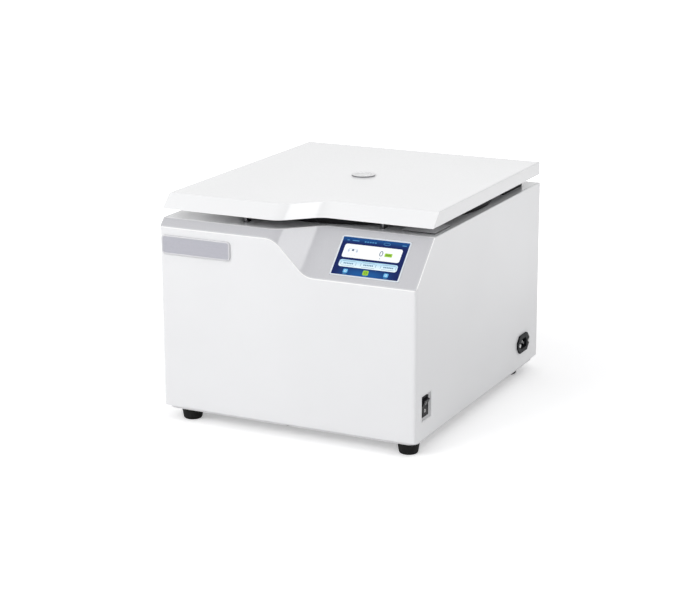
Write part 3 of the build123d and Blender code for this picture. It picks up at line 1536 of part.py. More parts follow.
# ---------------------------------------------------------------- write the nodes
def main():
    os.makedirs("parts", exist_ok=True)
    save("outer_cover", outer_cover())
    save("rear_panel", rear_panel())
    save("top_deck", drill_hinge_holes(top_deck(), deck_bottom - 1, deck_top + 1))
    save("control_bezel", control_bezel())
    save("corner_plate", corner_plate())
    save("base_plate", base_plate())
    save("feet", *[one_foot(x, y) for x, y in foot_places()])
    foot_screws = [one_foot_screw(x, y) for x, y in foot_places()]
    save("base_screws", *foot_screws, *[one_base_screw(x, y) for x, y in base_screw_places()])
    rear_screws = [one_rear_screw(x, z) for x, z in rear_screw_places()]
    fan_screws = [one_fan_screw(x, z) for x, z in fan_screw_places()]
    save("rear_screws", *rear_screws, *fan_screws)
    save("display_glass", display_glass_pane())
    save("display_module", display_module(), display_board())
    save("name_plate", name_plate())
    save("switch_recess", switch_recess())
    save("switch_housing", switch_housing())
    save("switch_rocker", switch_rocker())
    save("power_inlet", power_inlet())
    save("inlet_pins", *[inlet_blade(y, z) for y, z in inlet_pin_places()])
    save("inlet_screws", one_inlet_screw(-1), one_inlet_screw(1))

    save("chamber_bowl", chamber_bowl())
    save("chamber_seal", chamber_seal(), one_lid_buffer(-1), one_lid_buffer(1))
    save("guard_ring", guard_ring())
    legs = around_axis(guard_leg_count, guard_leg_radius)
    save("guard_legs", *[one_guard_leg(x, y, angle) for x, y, angle in legs])

    save("motor_pillars", *[one_pillar(x, y) for x, y, _ in damper_places()])
    save("motor_dampers", *[one_damper(x, y) for x, y, _ in damper_places()])
    save("motor_plate", motor_plate())
    save("motor_case", motor_case())
    save("motor_top_cap", motor_top_cap())
    save("motor_bottom_cap", motor_bottom_cap())
    stator, heads = stator_solids()
    save("motor_stator", stator, *heads)
    save("motor_rotor_core", rotor_core())
    save("bearing_outer_races", *[outer_race(z) for z in bearing_levels()])
    balls = [ball for z in bearing_levels() for ball in bearing_balls(z)]
    save("bearing_inner_sets", *[inner_race(z) for z in bearing_levels()], *balls)
    save("motor_shaft", spindle())
    save("shaft_boot", shaft_boot())

    save("rotor_yoke", rotor_yoke())
    save("trunnion_pins", *[one_trunnion_pin(end, sign) for end in (-1, 1) for sign in (-1, 1)])
    save("bucket_left", bucket(-1))
    save("bucket_right", bucket(1))
    save("rotor_nut", rotor_nut())

    save("lid_shell", lid_shell())
    save("lid_liner", drill_hinge_holes(lid_liner(), liner_bottom - 1, liner_bottom + 3))
    save("sight_collar", sight_collar())
    save("sight_window", sight_window())
    left, right = hook_places()
    save("lid_hooks", one_hook(*left), one_hook(*right))
    save("lock_frames", lock_frame(*left), lock_frame(*right))
    save("lock_solenoids", lock_solenoid(*left), lock_solenoid(*right))
    save("lock_bolt_left", lock_bolt(*left))
    save("lock_bolt_right", lock_bolt(*right))
    save("hinge_bases", hinge_base(-hinge_x), hinge_base(hinge_x))
    save("hinge_leaves", hinge_leaf(-hinge_x), hinge_leaf(hinge_x))
    save("hinge_pins", hinge_pin(-hinge_x), hinge_pin(hinge_x))
    save("hinge_base_screws", *hinge_screws(-hinge_x, True), *hinge_screws(hinge_x, True))
    save("hinge_leaf_screws", *hinge_screws(-hinge_x, False), *hinge_screws(hinge_x, False))

    save("fan_frame", fan_frame())
    save("fan_wheel", fan_wheel())
    save("board_bracket", board_bracket(), *board_standoffs())
    save("main_board", main_board())
    save("motor_drive", drive_case(), drive_heat_sink())
    save("power_supply", power_supply())
    save("inner_wires", *mains_wires(), motor_cable())


main()
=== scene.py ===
"""Looks of a bench centrifuge for microplates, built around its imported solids.  Metres."""
import json
import math

import bmesh
import bpy
from mathutils import Matrix, Vector


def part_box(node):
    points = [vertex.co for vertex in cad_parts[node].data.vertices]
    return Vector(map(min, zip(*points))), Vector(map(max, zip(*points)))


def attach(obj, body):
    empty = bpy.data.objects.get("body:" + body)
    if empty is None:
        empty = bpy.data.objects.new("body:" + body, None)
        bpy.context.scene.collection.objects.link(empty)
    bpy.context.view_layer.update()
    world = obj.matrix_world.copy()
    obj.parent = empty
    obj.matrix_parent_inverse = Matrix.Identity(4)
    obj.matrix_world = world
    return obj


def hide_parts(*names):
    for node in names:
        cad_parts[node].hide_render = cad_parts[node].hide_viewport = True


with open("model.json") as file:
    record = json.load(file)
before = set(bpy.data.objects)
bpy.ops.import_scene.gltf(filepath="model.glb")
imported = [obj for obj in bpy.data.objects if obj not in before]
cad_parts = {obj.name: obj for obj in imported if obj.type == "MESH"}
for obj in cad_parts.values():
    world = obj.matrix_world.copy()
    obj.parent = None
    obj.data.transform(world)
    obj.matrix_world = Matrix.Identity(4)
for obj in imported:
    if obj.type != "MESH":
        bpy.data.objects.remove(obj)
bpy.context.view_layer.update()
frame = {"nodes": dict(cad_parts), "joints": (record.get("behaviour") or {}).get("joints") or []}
nodes = frame["nodes"]
joints = {joint["name"]: joint for joint in frame["joints"]}

MM = 0.001
ROOT_HALF = math.sqrt(0.5)  # sine and cosine of the front's 45 degree slope

# ---------------------------------------------------------------- places taken from the solids
COVER_LOW, COVER_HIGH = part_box("outer_cover")
BOWL_LOW, BOWL_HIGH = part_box("chamber_bowl")
PLATE_LOW, PLATE_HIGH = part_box("name_plate")
GLASS_LOW, GLASS_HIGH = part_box("display_glass")
SIGHT_LOW, SIGHT_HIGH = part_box("sight_window")
BASE_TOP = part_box("base_plate")[1].z
CHAMBER_Y = (BOWL_LOW.y + BOWL_HIGH.y) / 2
SIGHT_Y = (SIGHT_LOW.y + SIGHT_HIGH.y) / 2
ROCKER_PIVOT = Vector(joints["power_rocker"]["pos_m"])

# ---------------------------------------------------------------- sizes of the trim
HEM_WIDTH = 1.2 * MM
HEM_BLUR = 0.1 * MM
EDGE_EASE = 0.6 * MM
PLATE_CORNER = 5.5 * MM
PLATE_EASE = 0.5 * MM
PLATE_RIM = 1.3 * MM
PLATE_STEP = 0.4 * MM

# ---------------------------------------------------------------- joining and shading of meshes
# A distance in metres, angles between faces in degrees, and how far large faces lead the shading
MERGE = 0.001 * MM
FLAT = 0.5
SHARP = 38.0
SMOOTH = 35.0
EASED_SMOOTH = 14.0
FLAT_FACE_WEIGHT = 100

# ---------------------------------------------------------------- light of the screen, the floor and the room
SCREEN_GLOW = 0.7
SCREEN_SKIN = 0.35
FLOOR_LIFT = 0.33
FLOOR_NEAR = 0.3
FLOOR_FAR = 1.4
ROOM_LIGHT = 0.57
WHITE = (1.0, 1.0, 1.0, 1.0)
BLACK = (0.0, 0.0, 0.0, 1.0)

# ---------------------------------------------------------------- sockets by name or number
AXES = ("X", "Y", "Z")
SEEN_MIRRORED_THROUGH = ("Is Camera Ray", "Is Glossy Ray", "Is Transmission Ray")
MIX_SHARE, MIX_FIRST, MIX_SECOND, MIX_COLOUR = 0, 6, 7, 2


# ---------------------------------------------------------------- shader arithmetic
class Value:
    """A shader socket that takes part in Python arithmetic."""

    def __init__(self, tree, socket):
        self.tree = tree
        self.socket = socket

    def maths(self, operation, *terms):
        return self.tree.node("ShaderNodeMath", {"operation": operation}, dict(enumerate(terms)))

    def __add__(self, other):
        return self.maths("ADD", self, other)

    def __radd__(self, other):
        return self.maths("ADD", other, self)

    def __sub__(self, other):
        return self.maths("SUBTRACT", self, other)

    def __rsub__(self, other):
        return self.maths("SUBTRACT", other, self)

    def __mul__(self, other):
        return self.maths("MULTIPLY", self, other)

    def __rmul__(self, other):
        return self.maths("MULTIPLY", other, self)

    def __pow__(self, other):
        return self.maths("POWER", self, other)

    def __abs__(self):
        return self.maths("ABSOLUTE", self)

    def fraction(self):
        return self.maths("FRACT", self)

    def largest(self, other):
        return self.maths("MAXIMUM", self, other)

    def ramp(self, low, high):
        """0 below low, 1 above high, smooth between."""
        inputs = {"Value": self, "From Min": low, "From Max": high}
        return self.tree.node("ShaderNodeMapRange", {"interpolation_type": "SMOOTHSTEP"}, inputs)


class Tree:
    """The nodes of one material or world."""

    def __init__(self, owner):
        owner.use_nodes = True
        self.nodes = owner.node_tree.nodes
        self.links = owner.node_tree.links
        self.nodes.clear()

    def node(self, kind, settings=None, inputs=None, output=0):
        """Any node: its settings first, then the values or links of its sockets.

        Gives the output of that number or name, or one for each name of a tuple.
        """
        made = self.nodes.new(kind)
        for key, value in (settings or {}).items():
            setattr(made, key, value)
        for key, value in (inputs or {}).items():
            if isinstance(value, Value):
                self.links.new(value.socket, made.inputs[key])
            else:
                made.inputs[key].default_value = value
        if isinstance(output, tuple):
            return tuple(Value(self, made.outputs[name]) for name in output)
        return Value(self, made.outputs[output]) if made.outputs else None


class Finish(Tree):
    """One material: nodes around one surface shader."""

    def __init__(self, name):
        self.material = bpy.data.materials.new(name)
        super().__init__(self.material)
        self.place = self.node("ShaderNodeTexCoord", output="Object")
        self.x, self.y, self.z = self.node("ShaderNodeSeparateXYZ", None, {"Vector": self.place}, AXES)

    def noise(self, per_metre, detail=2.0, roughness=0.5, stretch=(1, 1, 1)):
        """Noise of about this many cells a metre, drawn out along an axis by a small stretch."""
        spread = tuple(per_metre * share for share in stretch)
        mapped = self.node("ShaderNodeMapping", None, {"Vector": self.place, "Scale": spread})
        inputs = {"Vector": mapped, "Scale": 1.0, "Detail": detail, "Roughness": roughness}
        return self.node("ShaderNodeTexNoise", None, inputs)

    def noise_along(self, value, per_metre, detail):
        """Noise that runs along one value only, in cells a metre."""
        inputs = {"W": value * per_metre, "Scale": 1.0, "Detail": detail}
        return self.node("ShaderNodeTexNoise", {"noise_dimensions": "1D"}, inputs)

    def cells(self, per_metre):
        """Distance to the nearest of scattered points."""
        inputs = {"Vector": self.place, "Scale": per_metre}
        return self.node("ShaderNodeTexVoronoi", None, inputs)

    def blend(self, first, second, share):
        """Mix of two colours."""
        first = first if isinstance(first, Value) else (*first, 1.0)
        second = second if isinstance(second, Value) else (*second, 1.0)
        inputs = {MIX_SHARE: share, MIX_FIRST: first, MIX_SECOND: second}
        return self.node("ShaderNodeMix", {"data_type": "RGBA"}, inputs, MIX_COLOUR)

    def marked(self, tone, marks):
        """The tone with zones of other colours, each a mask function and its colour."""
        for mask, colour in marks:
            tone = self.blend(tone, colour, mask(self))
        return tone

    def facing(self):
        """X, Y and Z of the way the surface faces."""
        way = self.node("ShaderNodeTexCoord", output="Normal")
        return self.node("ShaderNodeSeparateXYZ", None, {"Vector": way}, AXES)

    def radius(self, x=0.0, y=CHAMBER_Y):
        """Distance from an upright axis."""
        across = self.x - x
        along = self.y - y
        return (across * across + along * along) ** 0.5

    def surface(self, colour, roughness, height=None, depth=0.0, **constants):
        """Principled surface; height in 0..1 raises the skin by depth metres."""
        inputs = {"Base Color": colour if isinstance(colour, Value) else (*colour, 1.0)}
        inputs["Roughness"] = roughness
        for key, value in constants.items():
            inputs[key.replace("_", " ")] = value
        if height is not None:
            bump = {"Height": height, "Distance": depth, "Strength": 1.0}
            inputs["Normal"] = self.node("ShaderNodeBump", None, bump)
        shader = self.node("ShaderNodeBsdfPrincipled", None, inputs)
        self.node("ShaderNodeOutputMaterial", None, {"Surface": shader})
        return self.material


# ---------------------------------------------------------------- marked zones, 0 to 1 over a finish
def highlighted_cut_edge(f):
    """1 where a sheet ends against the leaning front, where the white paint takes a painted highlight."""
    upward_share = f.facing()[2]
    return upward_share.ramp(0.5, 0.6) * (1.0 - upward_share.ramp(0.8, 0.9))


def behind_hem(f):
    """1 on the inner part of that end, which reads as the moulding behind it."""
    from_front = (f.y - COVER_LOW.y).ramp(HEM_WIDTH - HEM_BLUR, HEM_WIDTH + HEM_BLUR)
    from_side = (abs(f.x) - COVER_HIGH.x).ramp(-HEM_WIDTH - HEM_BLUR, -HEM_WIDTH + HEM_BLUR)
    return highlighted_cut_edge(f) * from_front * (1.0 - from_side)


def top_rim_highlight(f):
    """1 on the bezel's flat rim, level with the deck, which is painted near-white as a painted highlight."""
    return (f.z - COVER_HIGH.z).ramp(-0.5 * MM, -0.2 * MM)


def painted_shade_wall(f):
    """1 on the upright sides of a flat plate, where painted shade goes."""
    return 1.0 - abs(f.facing()[2]).ramp(0.4, 0.6)


def shadow_line(f):
    """1 along the top of the base plate's rim, where the cover stands over it."""
    return (f.z - BASE_TOP).ramp(-2.4 * MM, -1.8 * MM) * painted_shade_wall(f)


# ---------------------------------------------------------------- finishes
def shade(colour, share):
    """A colour made darker or lighter, up to white."""
    return tuple(min(1.0, channel * share) for channel in colour)


def powder_coat(name, colour, roughness=0.36, marks=(), coat=0.12):
    """Baked paint on sheet metal: faint orange peel, slow drifts of tone, and marked zones."""
    f = Finish(name)
    drift = f.noise(5.0, 2.0)
    peel = f.noise(420.0, 2.0, 0.55)
    speck = f.noise(2600.0, 1.0)
    tone = f.blend(colour, shade(colour, 0.965), drift.ramp(0.35, 0.75) * 0.6 + speck * 0.12)
    tone = f.marked(tone, marks)
    rough = roughness + (peel - 0.5) * 0.10 + (drift - 0.5) * 0.08
    return f.surface(tone, rough, peel * 0.8 + speck * 0.2, 0.06 * MM, Coat_Weight=coat, Coat_Roughness=0.2)


def moulding(name, colour, grain, roughness, depth, lift, gloss=0.5, marks=()):
    """Injection-moulded plastic: a spark-eroded grain that lifts the colour, and marked zones."""
    f = Finish(name)
    fine = f.noise(grain, 3.0, 0.6)
    drift = f.noise(9.0, 2.0)
    tone = f.blend(colour, shade(colour, lift), fine.ramp(0.35, 0.8) * 0.35 + drift * 0.15)
    tone = f.marked(tone, marks)
    rough = roughness + (fine - 0.5) * 0.25 + (drift - 0.5) * 0.06
    return f.surface(tone, rough, fine, depth, Specular_IOR_Level=gloss)


def rubber(name, colour, roughness=0.72):
    """Moulded rubber: a dull skin with small pits and a bloom of dust."""
    f = Finish(name)
    pits = f.noise(1100.0, 4.0, 0.65)
    bloom = f.noise(30.0, 3.0)
    dusty = tuple(channel * 1.5 + 0.003 for channel in colour)
    tone = f.blend(colour, dusty, bloom.ramp(0.45, 0.8) * 0.5 + pits * 0.2)
    return f.surface(tone, roughness + (pits - 0.5) * 0.2, pits, 0.08 * MM, Specular_IOR_Level=0.12)


def brushed_metal(name, colour, stretch, roughness=0.3):
    """Metal brushed along the axis with the smallest stretch."""
    f = Finish(name)
    strokes = f.noise(900.0, 3.0, 0.7, stretch=stretch)
    bands = f.noise(120.0, 2.0, stretch=stretch)
    smear = f.noise(12.0, 3.0)
    tone = f.blend(shade(colour, 0.8), colour, strokes.ramp(0.25, 0.7) * 0.6 + bands * 0.4)
    rough = roughness + (strokes - 0.5) * 0.22 + (smear - 0.5) * 0.14
    return f.surface(tone, rough, strokes, 0.02 * MM, Metallic=1.0)


def turned_metal(name, colour, y=CHAMBER_Y, roughness=0.24, marks=()):
    """Metal turned about an upright axis: fine rings, a soft haze, and marked zones."""
    f = Finish(name)
    rings = f.noise_along(f.radius(y=y) + f.z * 0.7, 2400.0, 2.0)
    wide = f.noise_along(f.radius(y=y) + f.z * 0.7, 180.0, 1.0)
    smear = f.noise(14.0, 3.0)
    tone = f.blend(shade(colour, 0.78), colour, rings.ramp(0.3, 0.7) * 0.5 + wide * 0.5)
    tone = f.marked(tone, marks)
    rough = roughness + (rings - 0.5) * 0.16 + (smear - 0.5) * 0.16
    return f.surface(tone, rough, rings, 0.03 * MM, Metallic=1.0)


def cast_metal(name, colour, roughness, grain=700.0):
    """Cast or blasted metal with a fine tooth."""
    f = Finish(name)
    tooth = f.noise(grain, 4.0, 0.7)
    drift = f.noise(22.0, 3.0)
    tone = f.blend(shade(colour, 0.72), colour, tooth.ramp(0.3, 0.65) * 0.6 + drift * 0.4)
    return f.surface(tone, roughness + (tooth - 0.5) * 0.3, tooth, 0.07 * MM, Metallic=0.9)


def plated_steel(name, colour):
    """Zinc-plated steel: cool spangles with a trace of straw yellow."""
    f = Finish(name)
    spangle = f.cells(420.0)
    drift = f.noise(60.0, 3.0)
    straw = (colour[0] * 1.02, colour[1] * 0.97, colour[2] * 0.86)
    tone = f.blend(colour, straw, drift.ramp(0.4, 0.8) * 0.6 + spangle.ramp(0.2, 0.9) * 0.3)
    return f.surface(tone, 0.3 + spangle * 0.18 + (drift - 0.5) * 0.12, drift, 0.03 * MM, Metallic=1.0)


def speckled_plate(name, colour):
    """Anodised aluminium with a satin speckle and a faint brushing."""
    f = Finish(name)
    speckle = f.noise(1400.0, 3.0, 0.8)
    strokes = f.noise(700.0, 2.0, stretch=(0.04, 1.0, 1.0))
    tooth = speckle * 0.6 + strokes * 0.4
    tone = f.blend(shade(colour, 0.82), shade(colour, 1.1), speckle.ramp(0.3, 0.7) * 0.6 + strokes * 0.4)
    return f.surface(tone, 0.42 + (speckle - 0.5) * 0.3, tooth, 0.04 * MM, Metallic=0.35)


def clear_glass(name, colour):
    """Polished window with a faint drift of haze."""
    f = Finish(name)
    haze = f.noise(60.0, 3.0)
    rough = 0.02 + haze.ramp(0.4, 0.9) * 0.05
    tone = f.blend(colour, shade(colour, 0.96), haze)
    return f.surface(tone, rough, Transmission_Weight=0.6, IOR=1.58, Coat_Weight=1.0, Coat_Roughness=0.03)


def touch_glass(name, colour):
    """Pale printed border under the glass of the screen."""
    f = Finish(name)
    smear = f.noise(40.0, 3.0)
    tone = f.blend(colour, shade(colour, 0.93), smear.ramp(0.3, 0.8))
    return f.surface(tone, 0.08 + smear * 0.06, Coat_Weight=0.6, Coat_Roughness=0.04)


def circuit_board(name):
    """Solder mask over fine copper tracks."""
    f = Finish(name)
    tracks = (f.x * 420.0 + f.noise(55.0, 1.0) * 2.0).fraction().ramp(0.42, 0.5)
    cross = (f.z * 380.0 + f.noise(70.0, 1.0) * 2.0).fraction().ramp(0.7, 0.78)
    tone = f.blend((0.012, 0.10, 0.045), (0.03, 0.24, 0.10), tracks * 0.6 + cross * 0.4)
    return f.surface(tone, 0.34 + tracks * 0.12, tracks + cross, 0.03 * MM, Coat_Weight=0.3)


def lit(name, colour, edge, glow, strength=SCREEN_GLOW):
    """Part of the lit screen; glow in 0..1 leads from the edge colour to the main one."""
    f = Finish(name)
    tone = f.blend(edge, colour, glow(f))
    grain = f.noise(2500.0, 1.0)
    dim = f.blend((0.0, 0.0, 0.0), tone, SCREEN_SKIN)
    return f.surface(dim, 0.3 + grain * 0.06, Emission_Color=tone, Emission_Strength=strength,
                     Specular_IOR_Level=0.1)


def floor_finish():
    """Pale floor that shows white to the eye and to mirrors, and keeps shadows."""
    f = Finish("studio_floor")
    speck = f.noise(40.0, 2.0)
    tone = f.blend((0.86, 0.86, 0.865), (0.88, 0.88, 0.885), speck)
    seen, mirrored, through = f.node("ShaderNodeLightPath", output=SEEN_MIRRORED_THROUGH)
    reach = f.radius(0.0, 0.0).ramp(FLOOR_NEAR, FLOOR_FAR)
    shown = (seen + (mirrored + through)).ramp(0.0, 1.0) * (FLOOR_LIFT + (1.0 - FLOOR_LIFT) * reach)
    plain = f.node("ShaderNodeBsdfDiffuse", None, {"Color": tone})
    white = f.node("ShaderNodeEmission", None, {"Color": WHITE, "Strength": 1.0})
    none = f.node("ShaderNodeEmission", None, {"Color": BLACK, "Strength": 0.0})
    lift = f.node("ShaderNodeMixShader", None, {0: shown, 1: none, 2: white})
    both = f.node("ShaderNodeAddShader", None, {0: plain, 1: lift})
    f.node("ShaderNodeOutputMaterial", None, {"Surface": both})
    return f.material


# ---------------------------------------------------------------- the machine's finishes
BEZEL_GREY = (0.53, 0.53, 0.555)
# painted highlight: near-white for the cut edge of the sheet along the leaning front
HEM_HIGHLIGHT = (0.97, 0.97, 0.97)

# The white paint carries a painted highlight on that cut edge, and the bezel's grey on its inner part.
white_paint = powder_coat("white_paint", (0.845, 0.848, 0.860),
                          marks=((highlighted_cut_edge, HEM_HIGHLIGHT), (behind_hem, BEZEL_GREY)))
lid_paint = powder_coat("lid_paint", (0.850, 0.853, 0.862), 0.23)
inner_paint = powder_coat("inner_paint", (0.78, 0.785, 0.80), 0.3, coat=1.0)
base_paint = powder_coat("base_paint", (0.80, 0.80, 0.81), 0.5, marks=((shadow_line, (0.22, 0.22, 0.23)),))
dark_paint = powder_coat("dark_paint", (0.16, 0.165, 0.175), 0.5)
# The bezel's grey moulding carries a painted highlight on its flat top rim.
bezel_plastic = moulding("bezel_plastic", BEZEL_GREY, 1300.0, 0.25, 0.01 * MM, 1.06, gloss=0.7,
                         marks=((top_rim_highlight, (0.88, 0.88, 0.89)),))
# The corner plate's upright sides are painted near black, a painted shade line round it.
corner_plastic = moulding("corner_plastic", (0.74, 0.74, 0.75), 1300.0, 0.48, 0.03 * MM, 1.04,
                          marks=((painted_shade_wall, (0.06, 0.06, 0.065)),))
black_plastic = moulding("black_plastic", (0.009, 0.010, 0.012), 1500.0, 0.5, 0.04 * MM, 1.6, gloss=0.1)
rocker_plastic = moulding("rocker_plastic", (0.008, 0.008, 0.010), 1800.0, 0.4, 0.02 * MM, 1.6, gloss=0.14)
fan_plastic = moulding("fan_plastic", (0.016, 0.016, 0.018), 1200.0, 0.5, 0.04 * MM, 1.5, gloss=0.2)
foot_rubber = rubber("foot_rubber", (0.012, 0.012, 0.012))
seal_rubber = rubber("seal_rubber", (0.016, 0.016, 0.017), 0.62)
bowl_steel = turned_metal("bowl_steel", (0.70, 0.70, 0.71))
liner_steel = brushed_metal("liner_steel", (0.72, 0.72, 0.73), (0.03, 1.0, 1.0), 0.3)
spun_steel = turned_metal("spun_steel", (0.62, 0.62, 0.63))
zinc = plated_steel("zinc_plate", (0.66, 0.67, 0.69))
armour_paint = cast_metal("armour_paint", (0.20, 0.20, 0.21), 0.6, 500.0)
motor_cast = cast_metal("motor_cast", (0.62, 0.63, 0.64), 0.45)
yoke_metal = brushed_metal("yoke_metal", (0.66, 0.67, 0.69), (0.05, 1.0, 1.0), 0.34)
bucket_metal = cast_metal("bucket_metal", (0.60, 0.62, 0.66), 0.36, 1200.0)
name_metal = speckled_plate("name_metal", (0.42, 0.42, 0.465))
window_glass = clear_glass("window_glass", (0.93, 0.95, 0.96))
# The collar's upright outer wall is painted dark grey, painted shade at its foot.
collar_metal = turned_metal("collar_metal", (0.82, 0.82, 0.83), SIGHT_Y, 0.3,
                            marks=((painted_shade_wall, (0.26, 0.26, 0.27)),))
hook_steel = brushed_metal("hook_steel", (0.20, 0.20, 0.21), (1.0, 1.0, 0.05), 0.4)
rim_metal = speckled_plate("rim_metal", (0.62, 0.62, 0.64))
# Lighter copies of the bezel and lid finishes for their rounded edges: painted highlights.
bezel_edge_highlight = moulding("bezel_edge_highlight", (0.86, 0.86, 0.87), 1300.0, 0.4, 0.02 * MM, 1.04)
lid_edge_highlight = powder_coat("lid_edge_highlight", (0.96, 0.96, 0.97), 0.34)
screen_border = touch_glass("screen_border", (0.74, 0.80, 0.86))
board_finish = circuit_board("board_finish")
mark_white = moulding("mark_white", (0.82, 0.82, 0.82), 1500.0, 0.45, 0.02 * MM, 1.1)

NODE_FINISHES = {
    white_paint: ["outer_cover", "rear_panel", "switch_recess"],
    lid_paint: ["lid_shell"],
    inner_paint: ["top_deck"],
    base_paint: ["base_plate"],
    dark_paint: ["power_supply"],
    bezel_plastic: ["control_bezel"],
    corner_plastic: ["corner_plate"],
    black_plastic: ["switch_housing", "power_inlet", "lock_solenoids"],
    rocker_plastic: ["switch_rocker"],
    fan_plastic: ["fan_frame", "fan_wheel"],
    foot_rubber: ["feet", "motor_dampers", "inner_wires"],
    seal_rubber: ["chamber_seal", "shaft_boot"],
    bowl_steel: ["chamber_bowl"],
    liner_steel: ["lid_liner"],
    spun_steel: ["motor_shaft", "rotor_nut", "motor_rotor_core", "bearing_outer_races", "bearing_inner_sets"],
    zinc: ["guard_legs", "motor_pillars", "board_bracket", "lock_frames", "hinge_bases", "hinge_leaves",
           "hinge_pins", "hinge_base_screws", "hinge_leaf_screws", "base_screws", "rear_screws",
           "inlet_screws", "lock_bolt_left", "lock_bolt_right", "inlet_pins",
           "trunnion_pins", "motor_stator"],
    hook_steel: ["lid_hooks"],
    armour_paint: ["guard_ring"],
    motor_cast: ["motor_plate", "motor_case", "motor_top_cap", "motor_bottom_cap", "motor_drive"],
    yoke_metal: ["rotor_yoke"],
    bucket_metal: ["bucket_left", "bucket_right"],
    name_metal: ["name_plate"],
    window_glass: ["sight_window"],
    collar_metal: ["sight_collar"],
    screen_border: ["display_glass"],
    board_finish: ["main_board", "display_module"],
}
for finish, names in NODE_FINISHES.items():
    for node_name in names:
        for material_slot in nodes[node_name].material_slots:
            material_slot.material = finish


# ---------------------------------------------------------------- piece helpers
def finish_piece(name, bm, material, body, replaced=(), smooth=SMOOTH):
    """Turns a bmesh into a piece that rides on a body."""
    mesh = bpy.data.meshes.new(name)
    bmesh.ops.recalc_face_normals(bm, faces=bm.faces)
    bm.to_mesh(mesh)
    bm.free()
    mesh.materials.append(material)
    piece = bpy.data.objects.new(name, mesh)
    bpy.context.scene.collection.objects.link(piece)
    mesh.shade_smooth()
    mesh.set_sharp_from_angle(angle=math.radians(smooth))
    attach(piece, body)
    if replaced:
        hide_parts(*replaced)
    return piece


def raise_at(bm, faces, place, u, v, thickness, base):
    """Gives flat faces a thickness and moves them from the origin to their place."""
    raised = bmesh.ops.extrude_face_region(bm, geom=faces)
    top = [item for item in raised["geom"] if isinstance(item, bmesh.types.BMVert)]
    bmesh.ops.translate(bm, vec=(0, 0, thickness), verts=top)
    every = list({vert for face in faces for vert in face.verts} | set(top))
    bmesh.ops.translate(bm, vec=(u, v, base), verts=every)
    bmesh.ops.transform(bm, matrix=place, verts=every)


def tile(bm, place, u, v, width, height, radius, thickness, base=0.0, segments=6):
    """Rounded tile in the place's plane, raised from base by thickness."""
    verts = bmesh.ops.create_grid(bm, x_segments=1, y_segments=1, size=0.5)["verts"]
    bmesh.ops.scale(bm, vec=(width, height, 1.0), verts=verts)
    if radius > 0:
        rounded = bmesh.ops.bevel(
            bm, geom=verts, offset=radius, offset_type="OFFSET", segments=segments, profile=0.5,
            affect="VERTICES", material=-1, clamp_overlap=True)
        verts = rounded["verts"]
    faces = list({face for vert in verts for face in vert.link_faces})
    raise_at(bm, faces, place, u, v, thickness, base)


def loop_tile(bm, place, u, v, width, height, band, thickness, base=0.0, segments=24):
    """Flat oval band, like a printed nought."""
    outer = bmesh.ops.create_circle(bm, segments=segments, radius=0.5)["verts"]
    inner = bmesh.ops.create_circle(bm, segments=segments, radius=0.5)["verts"]
    bmesh.ops.scale(bm, vec=(width, height, 1.0), verts=outer)
    bmesh.ops.scale(bm, vec=(width - 2 * band, height - 2 * band, 1.0), verts=inner)
    rims = list({edge for vert in outer + inner for edge in vert.link_edges})
    faces = bmesh.ops.bridge_loops(bm, edges=rims)["faces"]
    raise_at(bm, faces, place, u, v, thickness, base)


def merged_copy(node_name):
    """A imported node's mesh as a bmesh, with its loose triangles joined."""
    bm = bmesh.new()
    bm.from_mesh(nodes[node_name].data)
    bmesh.ops.remove_doubles(bm, verts=bm.verts, dist=MERGE)
    bmesh.ops.dissolve_limit(bm, angle_limit=math.radians(FLAT), use_dissolve_boundaries=False,
                             verts=bm.verts, edges=bm.edges, delimit=set())
    return bm


def is_sharp(edge):
    """Whether an edge sticks out and turns more than the limit."""
    return edge.is_manifold and edge.is_convex and edge.calc_face_angle() > math.radians(SHARP)


def eased_copy(name, node_name, body, material, highlight_material):
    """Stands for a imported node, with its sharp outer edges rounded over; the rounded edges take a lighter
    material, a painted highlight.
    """
    bm = merged_copy(node_name)
    sharp = [edge for edge in bm.edges if is_sharp(edge)]
    bmesh.ops.bevel(bm, geom=sharp, offset=EDGE_EASE, offset_type="OFFSET", segments=2, profile=0.5,
                    affect="EDGES", material=1, clamp_overlap=True)
    piece = finish_piece(name, bm, material, body, [node_name], EASED_SMOOTH)
    piece.data.materials.append(highlight_material)
    flat_faces_first = piece.modifiers.new("flat_faces_first", "WEIGHTED_NORMAL")
    flat_faces_first.weight = FLAT_FACE_WEIGHT
    flat_faces_first.keep_sharp = True


# ---------------------------------------------------------------- front trim
def front_share(face):
    """How much of a face looks to the front, as an area."""
    return -face.normal.y * face.calc_area()


def plate_with_rim():
    """The bare plate on the front: round corners, an eased edge and a raised rim round its field."""
    bm = bmesh.new()
    size = PLATE_HIGH - PLATE_LOW
    middle = (PLATE_LOW + PLATE_HIGH) / 2
    outward = Matrix(((1, 0, 0), (0, 0, 1), (0, -1, 0))).transposed().to_4x4()
    place = Matrix.Translation((middle.x, PLATE_HIGH.y, middle.z)) @ outward
    tile(bm, place, 0, 0, size.x, size.z, PLATE_CORNER, size.y, segments=8)
    bmesh.ops.recalc_face_normals(bm, faces=bm.faces)
    front = max(bm.faces, key=front_share)
    bmesh.ops.bevel(bm, geom=front.edges[:], offset=PLATE_EASE, offset_type="OFFSET", segments=2, profile=0.5,
                    affect="EDGES", material=-1, clamp_overlap=True)
    bmesh.ops.recalc_face_normals(bm, faces=bm.faces)
    field = max(bm.faces, key=front_share)
    bmesh.ops.inset_region(bm, faces=[field], thickness=PLATE_RIM, use_even_offset=True)
    bmesh.ops.inset_region(bm, faces=[field], thickness=PLATE_STEP, depth=-PLATE_STEP, use_even_offset=True)
    field.material_index = 1
    piece = finish_piece("name_plate_rimmed", bm, rim_metal, "cabinet", ["name_plate"])
    piece.data.materials.append(name_metal)


